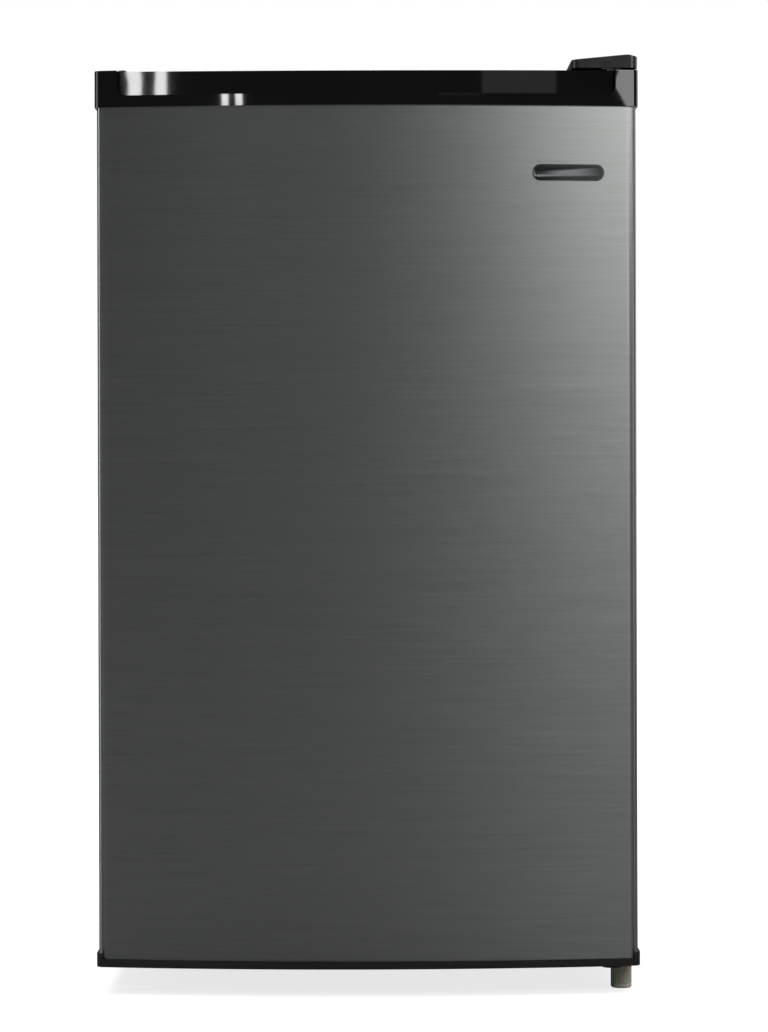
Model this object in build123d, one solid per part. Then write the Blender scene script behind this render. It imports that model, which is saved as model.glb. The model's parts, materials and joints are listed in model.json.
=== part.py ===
from build123d import *
import os
from math import sqrt

# Compact refrigerator with one bowed door, hinged on the right.
# Millimetres, +Z up, the door faces -Y, the origin is on the floor under the middle.

# Overall sizes
WIDTH = 472.0  # across the door's end caps
DEPTH = 450.0  # from the crown of the door to the condenser clips
WORKTOP_Z = 803.5  # top of the cabinet
HINGE_COVER_H = 11.5  # the hinge cover stands this far above the worktop
CLEAR = 0.3  # between pieces that move past each other

# Sheet and wall thicknesses
STEEL_T = 1.0
SKIN_T = 0.8
LINER_T = 2.0
CAP_T = 2.5
BIN_T = 2.5
GLASS_T = 4.0

# Door
DOOR_BOW = 20.0  # the crown stands this far in front of the door's side edges
DOOR_EDGE_T = 43.0  # thickness at the side edges
CAP_OVERHANG = 1.9  # the end caps stand this far outside the skin
CAP_CORNER_R = 5.5
SKIN_CORNER_R = 6.5
CAP_EDGE_R = 1.2
SKIN_RETURN = 12.0
DOOR_Z = 24.0  # underside of the bottom cap
BOTTOM_CAP_H = 7.0
BOTTOM_EAR_H = 5.0  # the bottom cap's corners rise this far up the skin
BOTTOM_EAR_W = 5.0
TOP_CAP_H = 32.0
DOOR_GAP = 1.5  # from the top cap to the worktop's level
CAP_HALF = WIDTH / 2
FRONT_Y = -DEPTH / 2
BACK_Y = DEPTH / 2
BOW_R = (CAP_HALF**2 + DOOR_BOW**2) / (2 * DOOR_BOW)
DOOR_BACK_Y = FRONT_Y + DOOR_BOW + DOOR_EDGE_T
SKIN_HALF = CAP_HALF - CAP_OVERHANG
SKIN_FRONT_Y = FRONT_Y + CAP_OVERHANG
SKIN_Z = DOOR_Z + BOTTOM_CAP_H
DOOR_TOP_Z = WORKTOP_Z - DOOR_GAP
TOP_CAP_Z = DOOR_TOP_Z - TOP_CAP_H

# Pocket handle in the top cap
LIP_H = 10.0  # height of the lip's front
LIP_T = 5.5
POCKET_END = 19.5  # from the cap's side to the pocket's end
POCKET_END_R = 8.0
POCKET_SETBACK = 22.0  # crown of the door to the middle of the pocket's back wall
POCKET_END_DEPTH = 12.2  # door's face to the back wall at the pocket's ends
TROUGH_END = 9.5  # from the pocket's end to the trough's end
TROUGH_DEPTH = 22.0  # below the lip's top
TROUGH_R = 3.0
POCKET_HALF = CAP_HALF - POCKET_END
POCKET_END_Y = BOW_R - sqrt(BOW_R**2 - POCKET_HALF**2) + POCKET_END_DEPTH
POCKET_BOW = POCKET_END_Y - POCKET_SETBACK
TROUGH_HALF = POCKET_HALF - TROUGH_END
LIP_Z = TOP_CAP_Z + LIP_H
TROUGH_Z = LIP_Z - TROUGH_DEPTH

# Cabinet
GASKET_GAP = 10.0  # door to cabinet
CABINET_INSET = 2.0  # from the door's side to the cabinet's
BASE_Z = 23.4  # underside of the base
WORKTOP_H = 17.5
SIDE_WALL = 39.0  # insulated walls, outside to inside
ROOF_WALL = 38.0
FLOOR_WALL = 44.6
BACK_WALL = 43.0
COIL_ROOM = 22.0  # behind the rear panel
LINER_R = 14.0
LINER_LIP = 10.0
HUMP_D = 125.0  # depth of the step over the compressor
HUMP_H = 160.0  # its height above the floor of the compartment
HUMP_ROOF = 16.0  # insulation over the compressor bay
HUMP_WALL = 41.0  # insulation in front of it
CABINET_Y = DOOR_BACK_Y + GASKET_GAP
CABINET_HALF = CAP_HALF - CABINET_INSET
REAR_Y = BACK_Y - COIL_ROOM
PANEL_TOP_Z = WORKTOP_Z - WORKTOP_H
OPENING_HALF = CABINET_HALF - SIDE_WALL
FLOOR_Z = BASE_Z + FLOOR_WALL
CEILING_Z = PANEL_TOP_Z - ROOF_WALL
LINER_BACK_Y = REAR_Y - BACK_WALL
HUMP_Y = LINER_BACK_Y - HUMP_D
HUMP_Z = FLOOR_Z + HUMP_H
BAY_TOP_Z = HUMP_Z - HUMP_ROOF
BAY_FRONT_Y = HUMP_Y + HUMP_WALL

# Gasket
GASKET_W = 14.0
GASKET_SEAT = 1.0  # how deep the gasket sits in the door liner's level
GASKET_HALF = OPENING_HALF + 17.5  # outside edge
GASKET_Z = (FLOOR_Z - 20.0, CEILING_Z + 18.0)
LINER_FACE_Y = DOOR_BACK_Y - GASKET_SEAT

# The door liner's ring, or dyke, and the bins inside it
DYKE_H = 44.0
DYKE_W = 16.0
DYKE_HALF = OPENING_HALF - 9.0
DYKE_Z = (FLOOR_Z + 16.0, CEILING_Z - 14.0)
DYKE_Y = DOOR_BACK_Y + DYKE_H
BIN_HALF = DYKE_HALF - DYKE_W - 3.0
BIN_D = 66.0
BIN_UPPER = (FLOOR_Z + 452.0, 50.0)  # level and height of each bin
BIN_MIDDLE = (FLOOR_Z + 282.0, 56.0)
BIN_LOWER = (FLOOR_Z + 36.0, 84.0)
RAIL_R = 3.0
RAIL_OVER_BIN = 48.0

# Freezer box
EVAP_H = 98.0
EVAP_T = 2.0
HANGER_H = 10.0
EVAP_HALF = OPENING_HALF - 23.0
EVAP_Z = (CEILING_Z - HANGER_H - EVAP_H, CEILING_Z - HANGER_H)
EVAP_BACK_Y = LINER_BACK_Y - 48.0
BEZEL_T = 8.0
BEZEL_HALF = EVAP_HALF + 8.0
BEZEL_Z = EVAP_Z[0] - 8.0
FLAP_T = 5.0
FLAP_GAP = 3.2  # from the bezel's face to the flap's pins
FLAP_PIN_R = 2.0
LUG_W = 8.0
FLAP_HALF = EVAP_HALF - 8.0
FLAP_Z = (EVAP_Z[0] + 3.0, EVAP_Z[1] + 2.0)

# Shelves and what slides
BIN_ROOM = 72.0  # from the cabinet's front to the shelves
SHELF_BELOW_TRAY = 136.0
SHELF_DROP = 3.0  # the lower shelf's distance below halfway to the crisper's cover
RUNNER_W = 9.0
RUNNER_H = 8.0
TRIM_D = 6.0
TRIM_H = 13.0
TRAY_H = 16.0
TRAY_FLANGE_BACK = 42.0  # the flanges start this far behind the tray's front
TRAY_FLANGE_H = 6.0  # their level above the tray's underside
SHELF_FRONT_Y = CABINET_Y + BIN_ROOM
SHELF_BACK_Y = LINER_BACK_Y - 10.0
SHELF_HALF = OPENING_HALF - 1.5
RUNNER_X = OPENING_HALF - RUNNER_W
CRISPER_COVER_Z = HUMP_Z - 12.0
CRISPER_HALF = OPENING_HALF - 17.0
CRISPER_BACK_Y = HUMP_Y - 5.0
CRISPER_TOP_Z = CRISPER_COVER_Z - 19.0
TRAY_HALF = OPENING_HALF - 17.0
TRAY_Z = EVAP_Z[0] - 34.0
SHELF_UPPER_Z = TRAY_Z - SHELF_BELOW_TRAY
SHELF_LOWER_Z = (SHELF_UPPER_Z + CRISPER_COVER_Z) / 2 - SHELF_DROP
TRAY_BACK_Y = EVAP_BACK_Y - 7.0
FLAP_Y = SHELF_FRONT_Y - BEZEL_T - FLAP_GAP

# Hinge axis
HINGE_INSET = 23.0  # from the cap's side
HINGE_FROM_DOOR_BACK = 25.5
PIN_R = 3.5
PIN_CLEAR = 0.05
BUSH_T = 2.0
BUSH_H = 18.0
PLATE_T = 3.0
BRACKET_T = 2.5
ARM_R = 9.0  # round end of both hinge arms
WASHER_T = 0.55
SCREW_R = 2.2
SCREW_HEAD_R = 4.6
SCREW_HEAD_H = 2.4
HINGE_X = CAP_HALF - HINGE_INSET
HINGE_Y = DOOR_BACK_Y - HINGE_FROM_DOOR_BACK
BUSH_R = PIN_R + PIN_CLEAR + BUSH_T
BOSS_R = BUSH_R + CAP_T
TOP_SCREWS = [(HINGE_X + x, CABINET_Y + 24.0) for x in (-17.0, ARM_R)]
BASE_SCREWS = [(HINGE_X + x, CABINET_Y + 32.0) for x in (-7.0, 13.0)]

# Hinge cover
COVER_W = 57.0
COVER_T = 2.0
COVER_SLOPE = 4.5  # its left end is this much lower than its peak
COVER_TOP_Z = WORKTOP_Z + HINGE_COVER_H
COVER_RIGHT = CAP_HALF - 0.5

# Feet
FOOT_R = 9.25
FOOT_H = 19.5
FOOT_STUD_R = 4.0
REAR_FOOT_R = 13.0
RIGHT_FOOT = (HINGE_X + 9.0, HINGE_Y + 21.5)
LEFT_FOOT = (34.0 - CABINET_HALF, CABINET_Y + 122.0)
REAR_FOOT = (CABINET_HALF - 34.0, REAR_Y - 33.0)

# Compressor
COMP_X = 20.0
COMP_RX, COMP_RY = 75.0, 55.0
COMP_SEAM = 73.0  # from its underside to the weld between its halves
COMP_WALL = 3.2
COMP_DOME_R = 30.0
COMP_FEET = (82.0, 34.0)
GROMMET_R = 10.0
BOLT_R = 3.0
RAIL_T = 2.0
RAIL_RIM_H = 34.0
COMP_Y = (BAY_FRONT_Y + REAR_Y) / 2
COMP_Z = (BASE_Z + 21.6, BAY_TOP_Z - 22.0)
COMP_SEAM_Z = COMP_Z[0] + COMP_SEAM

# Condenser, a wire-on-tube coil behind the rear panel
TUBE_R = 2.4
WIRE_R = 0.8
ROW_PITCH = 40.0
ROW_END = 34.0  # from the cabinet's side to where the bends start
COIL_FROM_BACK = 7.0
WIRE_PITCH = 10.0
WIRE_OVERRUN = 8.0
CLIP_W = 10.0
CLIP_H = 16.0
DRIER_R = 9.0
DRIER_Z = (BASE_Z + 42.6, BAY_TOP_Z - 52.0)
COIL_Y = BACK_Y - COIL_FROM_BACK
ROW_Z = BAY_TOP_Z + 44.0
ROW_HALF = CABINET_HALF - ROW_END
ROWS = 2 * int((PANEL_TOP_Z - 30.0 - ROW_Z) / (2 * ROW_PITCH)) + 1
COIL_TOP_Z = ROW_Z + (ROWS - 1) * ROW_PITCH
CLIP_X = ROW_HALF - 8.0
CLIP_ROWS = (1, ROWS - 2)
WIRES = 2 * int((CLIP_X - CLIP_W) / WIRE_PITCH) + 1
DRIER = (-ROW_HALF - 5.0, REAR_Y - 15.0)

# Tubes through the roof of the compressor bay
DRAIN_R = 5.0
SUCTION_R = 3.2
CAPILLARY_R = 1.2
DRAIN_X = COMP_X - 30.0
SUCTION_X = COMP_X - 140.0
SUCTION_Y = REAR_Y - 23.0
CAPILLARY_X = COMP_X - 170.0
BAY_HOLES = (
    (DRAIN_X, COMP_Y, DRAIN_R),
    (SUCTION_X, SUCTION_Y, SUCTION_R),
    (CAPILLARY_X, DRIER[1], CAPILLARY_R),
)

# Gland in the rail's rim
GLAND_R = 8.0
GLAND_FLANGE_R = 11.0
GLAND_BORE_R = 4.0
GLAND_X = CABINET_HALF - 84.0
RIM_Y = REAR_Y - 6.0
GLAND_Z = BASE_Z + 18.0

# Thermostat
HOUSING_D = 22.0
HOUSING_HALF = (45.0, 40.0)
DIAL_R = 17.0
DIAL_T = 12.0
DIAL_STEM_R = 3.0
DIAL_Y = SHELF_FRONT_Y + 75.0
DIAL_Z = TRAY_Z - 51.0


def block(x, y, z):
    """A box from a low and a high value along each axis."""
    size = [high - low for low, high in (x, y, z)]
    middle = [(high + low) / 2 for low, high in (x, y, z)]
    return Pos(*middle) * Box(*size)


def centred(half_x, y, z):
    """A box that is symmetric about the middle of the width."""
    return block((-half_x, half_x), y, z)


def upright(x, y, z, radius):
    """A cylinder along Z."""
    return Pos(x, y, (z[0] + z[1]) / 2) * Cylinder(radius, z[1] - z[0])


def across(x, y, z, radius):
    """A cylinder along X."""
    middle = Pos((x[0] + x[1]) / 2, y, z) * Rot(0, 90, 0)
    return middle * Cylinder(radius, x[1] - x[0])


def rounded(x, y, z, radius, axis=Axis.Z):
    """A box with the four edges along one axis rounded."""
    solid = block(x, y, z)
    return fillet(solid.edges().filter_by(axis), radius)


def open_box(x, y, z, wall, radius):
    """A tray or bin: a rounded box, open at the top."""
    inner = [(low + wall, high - wall) for low, high in (x, y)]
    hollow = rounded(*inner, (z[0] + wall, z[1] + wall), radius - wall)
    return rounded(x, y, z, radius) - hollow


def bow_y(x, crown):
    """Where the bowed front lies at a distance x from the middle."""
    return crown + BOW_R - sqrt(BOW_R**2 - x**2)


def bowed_slab(half, crown, back, z, corner):
    """The door's plan outline, raised over a height."""
    edge = bow_y(half, crown)
    sides = Polyline((half, edge), (half, back), (-half, back), (-half, edge))
    front = ThreePointArc((-half, edge), (0, crown), (half, edge))
    outline = make_face(sides + front)
    outline = fillet(outline.vertices().sort_by(Axis.Y)[:2], corner)
    return Pos(0, 0, z[0]) * extrude(outline, amount=z[1] - z[0])


def tube(points, tube_radius, bend_radius):
    """A round bar that follows straight runs joined by equal bends."""
    path = FilletPolyline(*points, radius=bend_radius)
    section = Plane(path @ 0, z_dir=path % 0) * Circle(tube_radius)
    return sweep(section, path)


def screw(x, y, z, length, up=True):
    """A pan-head screw whose head sits on the level z."""
    way = 1 if up else -1
    head = Pos(x, y, z + way * SCREW_HEAD_H / 2) * Cylinder(SCREW_HEAD_R, SCREW_HEAD_H)
    head = fillet(head.edges().group_by(Axis.Z)[-1 if up else 0], SCREW_HEAD_H / 3)
    shank = Pos(x, y, z - way * length / 2) * Cylinder(SCREW_R, length)
    return head + shank


# Door


def door_skin():
    """Steel wrapped round the front and both sides, with narrow returns behind."""
    z = (SKIN_Z, TOP_CAP_Z)
    outer = bowed_slab(SKIN_HALF, SKIN_FRONT_Y, DOOR_BACK_Y, z, SKIN_CORNER_R)
    crown, back = SKIN_FRONT_Y + SKIN_T, DOOR_BACK_Y - SKIN_T
    inner = bowed_slab(SKIN_HALF - SKIN_T, crown, back, z, SKIN_CORNER_R - SKIN_T)
    behind = centred(SKIN_HALF - SKIN_RETURN, (back - SKIN_T, DOOR_BACK_Y), z)
    return outer - inner - behind


def pocket_region(back_offset, z):
    """Everything in front of the pocket's bowed back wall."""
    crown = FRONT_Y + POCKET_SETBACK + back_offset
    wide = CAP_HALF + CAP_T
    edge = crown + POCKET_BOW * (wide / POCKET_HALF) ** 2
    ahead = FRONT_Y - CAP_T
    sides = Polyline((wide, edge), (wide, ahead), (-wide, ahead), (-wide, edge))
    wall = ThreePointArc((-wide, edge), (0, crown), (wide, edge))
    return Pos(0, 0, z[0]) * extrude(make_face(sides + wall), amount=z[1] - z[0])


def pocket_window(grow):
    """The pocket above the lip, seen from the front: low corners rounded."""
    z = (LIP_Z - grow, DOOR_TOP_Z + POCKET_END_R)
    half = POCKET_HALF + grow
    wide = (FRONT_Y - CAP_T, DOOR_BACK_Y)
    radius = POCKET_END_R + grow
    front = block((-half, half), wide, (z[0], z[1] + radius))
    front = fillet(front.edges().filter_by(Axis.Y).group_by(Axis.Z)[0], radius)
    return front & pocket_region(grow, z)


def pocket_trough(grow):
    """The finger trough behind the lip."""
    z = (TROUGH_Z - grow, DOOR_TOP_Z + POCKET_END_R)
    crown = FRONT_Y + LIP_T - grow
    half = TROUGH_HALF + grow
    front = bowed_slab(half, crown, DOOR_BACK_Y, z, TROUGH_R + grow)
    trough = front & pocket_region(grow, z)
    return fillet(trough.edges().group_by(Axis.Z)[0], TROUGH_R)


def hinge_boss(x, z):
    """A boss round one hinge hole."""
    return upright(x, HINGE_Y, z, BOSS_R)


def hinge_hole(x, z, radius):
    """A hole on the hinge axis or on its mirror image."""
    return upright(x, HINGE_Y, z, radius)


def door_cap_top():
    """The top end cap, with the pocket handle moulded in."""
    z = (TOP_CAP_Z, DOOR_TOP_Z)
    outer = bowed_slab(CAP_HALF, FRONT_Y, DOOR_BACK_Y, z, CAP_CORNER_R)
    outer = fillet(outer.edges().group_by(Axis.Z)[-1], CAP_EDGE_R)
    low, high = TOP_CAP_Z, DOOR_TOP_Z - CAP_T
    crown, back = FRONT_Y + CAP_T, DOOR_BACK_Y - CAP_T
    hollow = bowed_slab(CAP_HALF - CAP_T, crown, back, (low, high), CAP_T)
    boss_z = (DOOR_TOP_Z - BUSH_H, DOOR_TOP_Z)
    bosses = hinge_boss(HINGE_X, boss_z) + hinge_boss(-HINGE_X, boss_z)
    window_shell = pocket_window(CAP_T) & outer
    below = centred(CAP_HALF, (FRONT_Y, DOOR_BACK_Y), (TROUGH_Z - CAP_T, TOP_CAP_Z + CAP_T))
    trough_shell = pocket_trough(CAP_T) & (outer + below)
    cap = (outer - hollow) + bosses + window_shell + trough_shell
    cap = cap - pocket_window(0) - pocket_trough(0)
    cap -= hinge_hole(HINGE_X, boss_z, BUSH_R)
    cap -= hinge_hole(-HINGE_X, (boss_z[0] + CAP_T, boss_z[1]), PIN_R + PIN_CLEAR)
    return cap


def door_cap_bottom():
    """The bottom end cap, a shallow tray with raised corners."""
    z = (DOOR_Z, SKIN_Z)
    outer = bowed_slab(CAP_HALF, FRONT_Y, DOOR_BACK_Y, z, CAP_CORNER_R)
    outer = fillet(outer.edges().group_by(Axis.Z)[0], CAP_EDGE_R)
    crown, back = FRONT_Y + CAP_T, DOOR_BACK_Y - CAP_T
    hollow_z = (DOOR_Z + CAP_T, SKIN_Z)
    hollow = bowed_slab(CAP_HALF - CAP_T, crown, back, hollow_z, CAP_T)
    ear_z = (SKIN_Z, SKIN_Z + BOTTOM_EAR_H)
    ears = bowed_slab(CAP_HALF, FRONT_Y, DOOR_BACK_Y, ear_z, CAP_CORNER_R)
    ears -= bowed_slab(SKIN_HALF, SKIN_FRONT_Y, DOOR_BACK_Y, ear_z, SKIN_CORNER_R)
    ears -= centred(CAP_HALF - BOTTOM_EAR_W, (FRONT_Y, DOOR_BACK_Y), ear_z)
    boss_z = (DOOR_Z, DOOR_Z + BUSH_H)
    cap = (outer - hollow) + ears + hinge_boss(HINGE_X, boss_z)
    return cap - hinge_hole(HINGE_X, boss_z, BUSH_R)


def dyke(grow, z_grow, y):
    """The ring that stands up from the door liner into the cabinet."""
    half, wide = DYKE_HALF - grow, DYKE_W - 2 * grow
    low, high = DYKE_Z[0] + grow, DYKE_Z[1] - grow
    outer = rounded((-half, half), y, (low, high), 12.0 - grow, Axis.Y)
    inside = half - wide
    hole_z = (low + wide, high - wide)
    inner = rounded((-inside, inside), y, hole_z, 6.0 + z_grow, Axis.Y)
    return outer - inner


def door_liner():
    """The door's white inner sheet, formed with a ring that carries the bins."""
    half = SKIN_HALF - SKIN_T - CLEAR
    z = (SKIN_Z + CAP_T, TOP_CAP_Z - CAP_T)
    face = LINER_FACE_Y
    sheet = rounded((-half, half), (face - LINER_T, face), z, CAP_T, Axis.Y)
    ring = dyke(0.0, 0.0, (face - LINER_T, DYKE_Y))
    ring = fillet(ring.edges().group_by(Axis.Y)[-1], 3.0)
    hollow = dyke(LINER_T, LINER_T, (face - LINER_T, DYKE_Y - LINER_T))
    trough = pocket_trough(CAP_T)
    return sheet + ring - hollow - trough


def door_foam():
    """The insulation that fills the door."""
    z = (DOOR_Z + CAP_T, TOP_CAP_Z)
    crown = SKIN_FRONT_Y + SKIN_T
    back = LINER_FACE_Y - LINER_T
    corner = SKIN_CORNER_R - SKIN_T
    core = bowed_slab(SKIN_HALF - SKIN_T, crown, back, z, corner)
    ring = dyke(LINER_T, LINER_T, (back, DYKE_Y - LINER_T))
    boss = hinge_boss(HINGE_X, (DOOR_Z, DOOR_Z + BUSH_H))
    trough = pocket_trough(CAP_T)
    low_rim = centred(CAP_HALF, (FRONT_Y, BACK_Y), (DOOR_Z, SKIN_Z))
    narrow = bowed_slab(CAP_HALF - CAP_T, FRONT_Y + CAP_T, DOOR_BACK_Y - CAP_T, z, CAP_T)
    return core + ring - boss - trough - (low_rim - narrow)


def door_gasket():
    """The magnetic seal, a rounded ring with a slot for its bellows."""
    y = (LINER_FACE_Y, CABINET_Y - CLEAR)
    z = GASKET_Z
    half = GASKET_HALF
    outer = rounded((-half, half), y, z, 10.0, Axis.Y)
    inner_half = half - GASKET_W
    inner_z = (z[0] + GASKET_W, z[1] - GASKET_W)
    ring = outer - rounded((-inner_half, inner_half), y, inner_z, 4.0, Axis.Y)
    slot_y = (y[0] + 3.0, y[1] - 4.0)
    slot_half = half - 3.0
    slot_z = (z[0] + 3.0, z[1] - 3.0)
    slot = rounded((-half - 1, half + 1), slot_y, (z[0] - 1, z[1] + 1), 10.0, Axis.Y)
    slot -= rounded((-slot_half, slot_half), slot_y, slot_z, 8.0, Axis.Y)
    return ring - slot


def door_bin(low, height):
    """A bin that hangs between the sides of the door liner's ring."""
    y = (LINER_FACE_Y, DOOR_BACK_Y + BIN_D)
    return open_box((-BIN_HALF, BIN_HALF), y, (low, low + height), BIN_T, 6.0)


def bottle_rail():
    """A round bar across the tall lower bin, with a plug at each end."""
    y = DOOR_BACK_Y + DYKE_H - 8.0
    z = sum(BIN_LOWER) + RAIL_OVER_BIN
    reach = DYKE_HALF - DYKE_W
    rail = across((-reach, reach), y, z, RAIL_R)
    for middle in (RAIL_R - reach, reach - RAIL_R):
        rail += across((middle - RAIL_R, middle + RAIL_R), y, z, 2 * RAIL_R)
    return rail


def hinge_bushes():
    """One plastic bush in each end cap, for the hinge pins."""
    bushes = []
    for z in ((DOOR_TOP_Z - BUSH_H, DOOR_TOP_Z), (DOOR_Z, DOOR_Z + BUSH_H)):
        hole = hinge_hole(HINGE_X, z, PIN_R + PIN_CLEAR)
        bushes.append(hinge_hole(HINGE_X, z, BUSH_R) - hole)
    return Compound(bushes)


def hinge_hole_plug():
    """The cap in the spare hinge hole on the left."""
    stem = upright(-HINGE_X, HINGE_Y, (DOOR_TOP_Z - 8.0, DOOR_TOP_Z), PIN_R)
    head = upright(-HINGE_X, HINGE_Y, (DOOR_TOP_Z, DOOR_TOP_Z + 2.0), 4.5)
    head = fillet(head.edges().group_by(Axis.Z)[-1], 1.8)
    return stem + head


# Cabinet


def side_panel(side):
    """A painted steel side with returns at the front and the back."""
    z = (BASE_Z, PANEL_TOP_Z)
    inner_x = CABINET_HALF - STEEL_T
    wall = block((inner_x, CABINET_HALF), (CABINET_Y, REAR_Y), z)
    front = block((OPENING_HALF + LINER_T, CABINET_HALF), (CABINET_Y, CABINET_Y + STEEL_T), z)
    panel = wall + front
    outer_edge = panel.edges().filter_by(Axis.Z).group_by(Axis.Y)[0].sort_by(Axis.X)[-1]
    panel = fillet(outer_edge, STEEL_T / 2)
    return panel if side > 0 else mirror(panel, Plane.YZ)


def worktop():
    """The moulded top, a shallow lid with rounded edges."""
    y = (CABINET_Y, REAR_Y + STEEL_T)
    lid = centred(CABINET_HALF, y, (PANEL_TOP_Z, WORKTOP_Z))
    lid = fillet(lid.edges().filter_by(Axis.Z), 3.0)
    lid = fillet(lid.edges().group_by(Axis.Z)[-1], 2.0)
    inside_y = (y[0] + CAP_T, y[1] - CAP_T)
    hollow = centred(CABINET_HALF - CAP_T, inside_y, (PANEL_TOP_Z, WORKTOP_Z - CAP_T))
    return lid - hollow - hinge_plate_holes()


def hinge_plate_holes():
    """Holes for the upper hinge's screws."""
    z = (WORKTOP_Z - 12.0, WORKTOP_Z + PLATE_T)
    return Compound([upright(x, y, z, SCREW_R) for x, y in TOP_SCREWS])


def rear_panel():
    """The back sheet, stepped forward over the compressor bay."""
    half = CABINET_HALF - STEEL_T
    back = centred(half, (REAR_Y - STEEL_T, REAR_Y), (BAY_TOP_Z, PANEL_TOP_Z))
    roof = centred(half, (BAY_FRONT_Y, REAR_Y), (BAY_TOP_Z, BAY_TOP_Z + STEEL_T))
    bay_z = (BASE_Z + STEEL_T, BAY_TOP_Z + STEEL_T)
    wall = centred(half, (BAY_FRONT_Y - STEEL_T, BAY_FRONT_Y), bay_z)
    holes = [upright(x, y, (BAY_TOP_Z, BAY_TOP_Z + STEEL_T), r) for x, y, r in BAY_HOLES]
    for x, z in panel_screw_places():
        through = Pos(x, REAR_Y - STEEL_T / 2, z) * Rot(90, 0, 0)
        holes.append(through * Cylinder(SCREW_R, STEEL_T))
    return back + roof + wall - Compound(holes)


def base_pan():
    """The steel floor under the insulation, in front of the compressor bay."""
    half = CABINET_HALF - STEEL_T
    pan = centred(half, (CABINET_Y + STEEL_T, BAY_FRONT_Y), (BASE_Z, BASE_Z + STEEL_T))
    foot_hole = upright(*LEFT_FOOT, (BASE_Z, BASE_Z + STEEL_T), FOOT_STUD_R + PIN_CLEAR)
    screws = [upright(x, y, (BASE_Z, BASE_Z + STEEL_T), SCREW_R) for x, y in BASE_SCREWS]
    return pan - foot_hole - Compound(screws)


def front_rail(z):
    """A steel strip between the side panels' front returns."""
    return centred(OPENING_HALF + LINER_T, (CABINET_Y, CABINET_Y + STEEL_T), z)


def liner_form(grow):
    """The shape of the food compartment, with the step over the compressor."""
    half = OPENING_HALF + grow
    y = (CABINET_Y - 1.0, LINER_BACK_Y + grow)
    z = (FLOOR_Z - grow, CEILING_Z + grow)
    form = rounded((-half, half), y, z, LINER_R + grow, Axis.Y)
    step = centred(half, (HUMP_Y + grow, y[1]), (z[0], HUMP_Z - grow))
    return form - step


def runners():
    """Ledges on both side walls that carry the shelves and the tray."""
    tops = (SHELF_LOWER_Z, SHELF_UPPER_Z, TRAY_Z + TRAY_FLANGE_H)
    ledges = []
    for top in tops:
        y = (SHELF_FRONT_Y, SHELF_BACK_Y)
        ledges.append(block((RUNNER_X, OPENING_HALF + 1.0), y, (top - RUNNER_H, top)))
    y = (SHELF_FRONT_Y, HUMP_Y + 1.0)
    z = (CRISPER_COVER_Z - RUNNER_H, CRISPER_COVER_Z)
    ledges.append(block((RUNNER_X, OPENING_HALF + 1.0), y, z))
    return ledges


def inner_liner():
    """The white formed lining of the food compartment."""
    ahead = centred(CAP_HALF, (CABINET_Y - 2.0, CABINET_Y + STEEL_T), (0, WORKTOP_Z))
    lip_half = OPENING_HALF + LINER_LIP
    lip_y = (CABINET_Y + STEEL_T, CABINET_Y + STEEL_T + LINER_T)
    lip_z = (FLOOR_Z - LINER_LIP, CEILING_Z + LINER_LIP)
    liner = liner_form(LINER_T) - ahead + centred(lip_half, lip_y, lip_z) - liner_form(0)
    for ledge in runners():
        liner = liner + ledge + mirror(ledge, Plane.YZ)
    stem = across((OPENING_HALF - 1, OPENING_HALF + LINER_T), DIAL_Y, DIAL_Z, 4.0)
    return liner - stem


def cabinet_foam():
    """The insulation between the lining and the outer sheets."""
    half = CABINET_HALF - STEEL_T
    y = (CABINET_Y + STEEL_T + LINER_T, REAR_Y - STEEL_T)
    core = centred(half, y, (BASE_Z + STEEL_T, PANEL_TOP_Z))
    bay = centred(half, (BAY_FRONT_Y - STEEL_T, y[1]), (BASE_Z, BAY_TOP_Z + STEEL_T))
    stud = upright(*LEFT_FOOT, (BASE_Z, BASE_Z + FOOT_STUD_R), FOOT_STUD_R + PIN_CLEAR)
    return core - liner_form(LINER_T) - bay - stud


# Inside the food compartment


def evaporator():
    """The freezer box, a folded aluminium plate with four hangers."""
    y = (SHELF_FRONT_Y, EVAP_BACK_Y)
    low, high = EVAP_Z
    box = rounded((-EVAP_HALF, EVAP_HALF), y, EVAP_Z, 8.0, Axis.Y)
    half = EVAP_HALF - EVAP_T
    inside = (low + EVAP_T, high - EVAP_T)
    inner = rounded((-half, half), (y[0], y[1] - EVAP_T), inside, 6.0, Axis.Y)
    box -= inner
    for x in (42.0 - EVAP_HALF, EVAP_HALF - 42.0):
        for hanger_y in (y[0] + 30.0, y[1] - 32.0):
            box += upright(x, hanger_y, (high - EVAP_T / 2, CEILING_Z), 6.0)
    return box


def flap_lug(side):
    """One ear of the bezel, bored for the flap's pin."""
    low = FLAP_HALF + CLEAR
    x = (low, low + LUG_W)
    y = (FLAP_Y - 4.5, SHELF_FRONT_Y - BEZEL_T + 1.0)
    middle = FLAP_Z[0] + FLAP_PIN_R
    lug = block(x, y, (middle - 5.0, middle + 5.0))
    lug = fillet(lug.edges().filter_by(Axis.X).group_by(Axis.Y)[0], 4.0)
    lug -= across((x[0] - 1, x[1] + 1), FLAP_Y, middle, FLAP_PIN_R + PIN_CLEAR)
    return lug if side > 0 else mirror(lug, Plane.YZ)


def freezer_bezel():
    """The white frame round the freezer box's mouth, with the flap's two ears."""
    y = (SHELF_FRONT_Y - BEZEL_T, SHELF_FRONT_Y)
    frame = rounded((-BEZEL_HALF, BEZEL_HALF), y, (BEZEL_Z, CEILING_Z), 6.0, Axis.Y)
    mouth_z = (FLAP_Z[0] + 10.0, FLAP_Z[1] - 6.0)
    mouth = rounded((-FLAP_HALF + 6, FLAP_HALF - 6), y, mouth_z, 6.0, Axis.Y)
    return frame - mouth + flap_lug(1) + flap_lug(-1)


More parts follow.
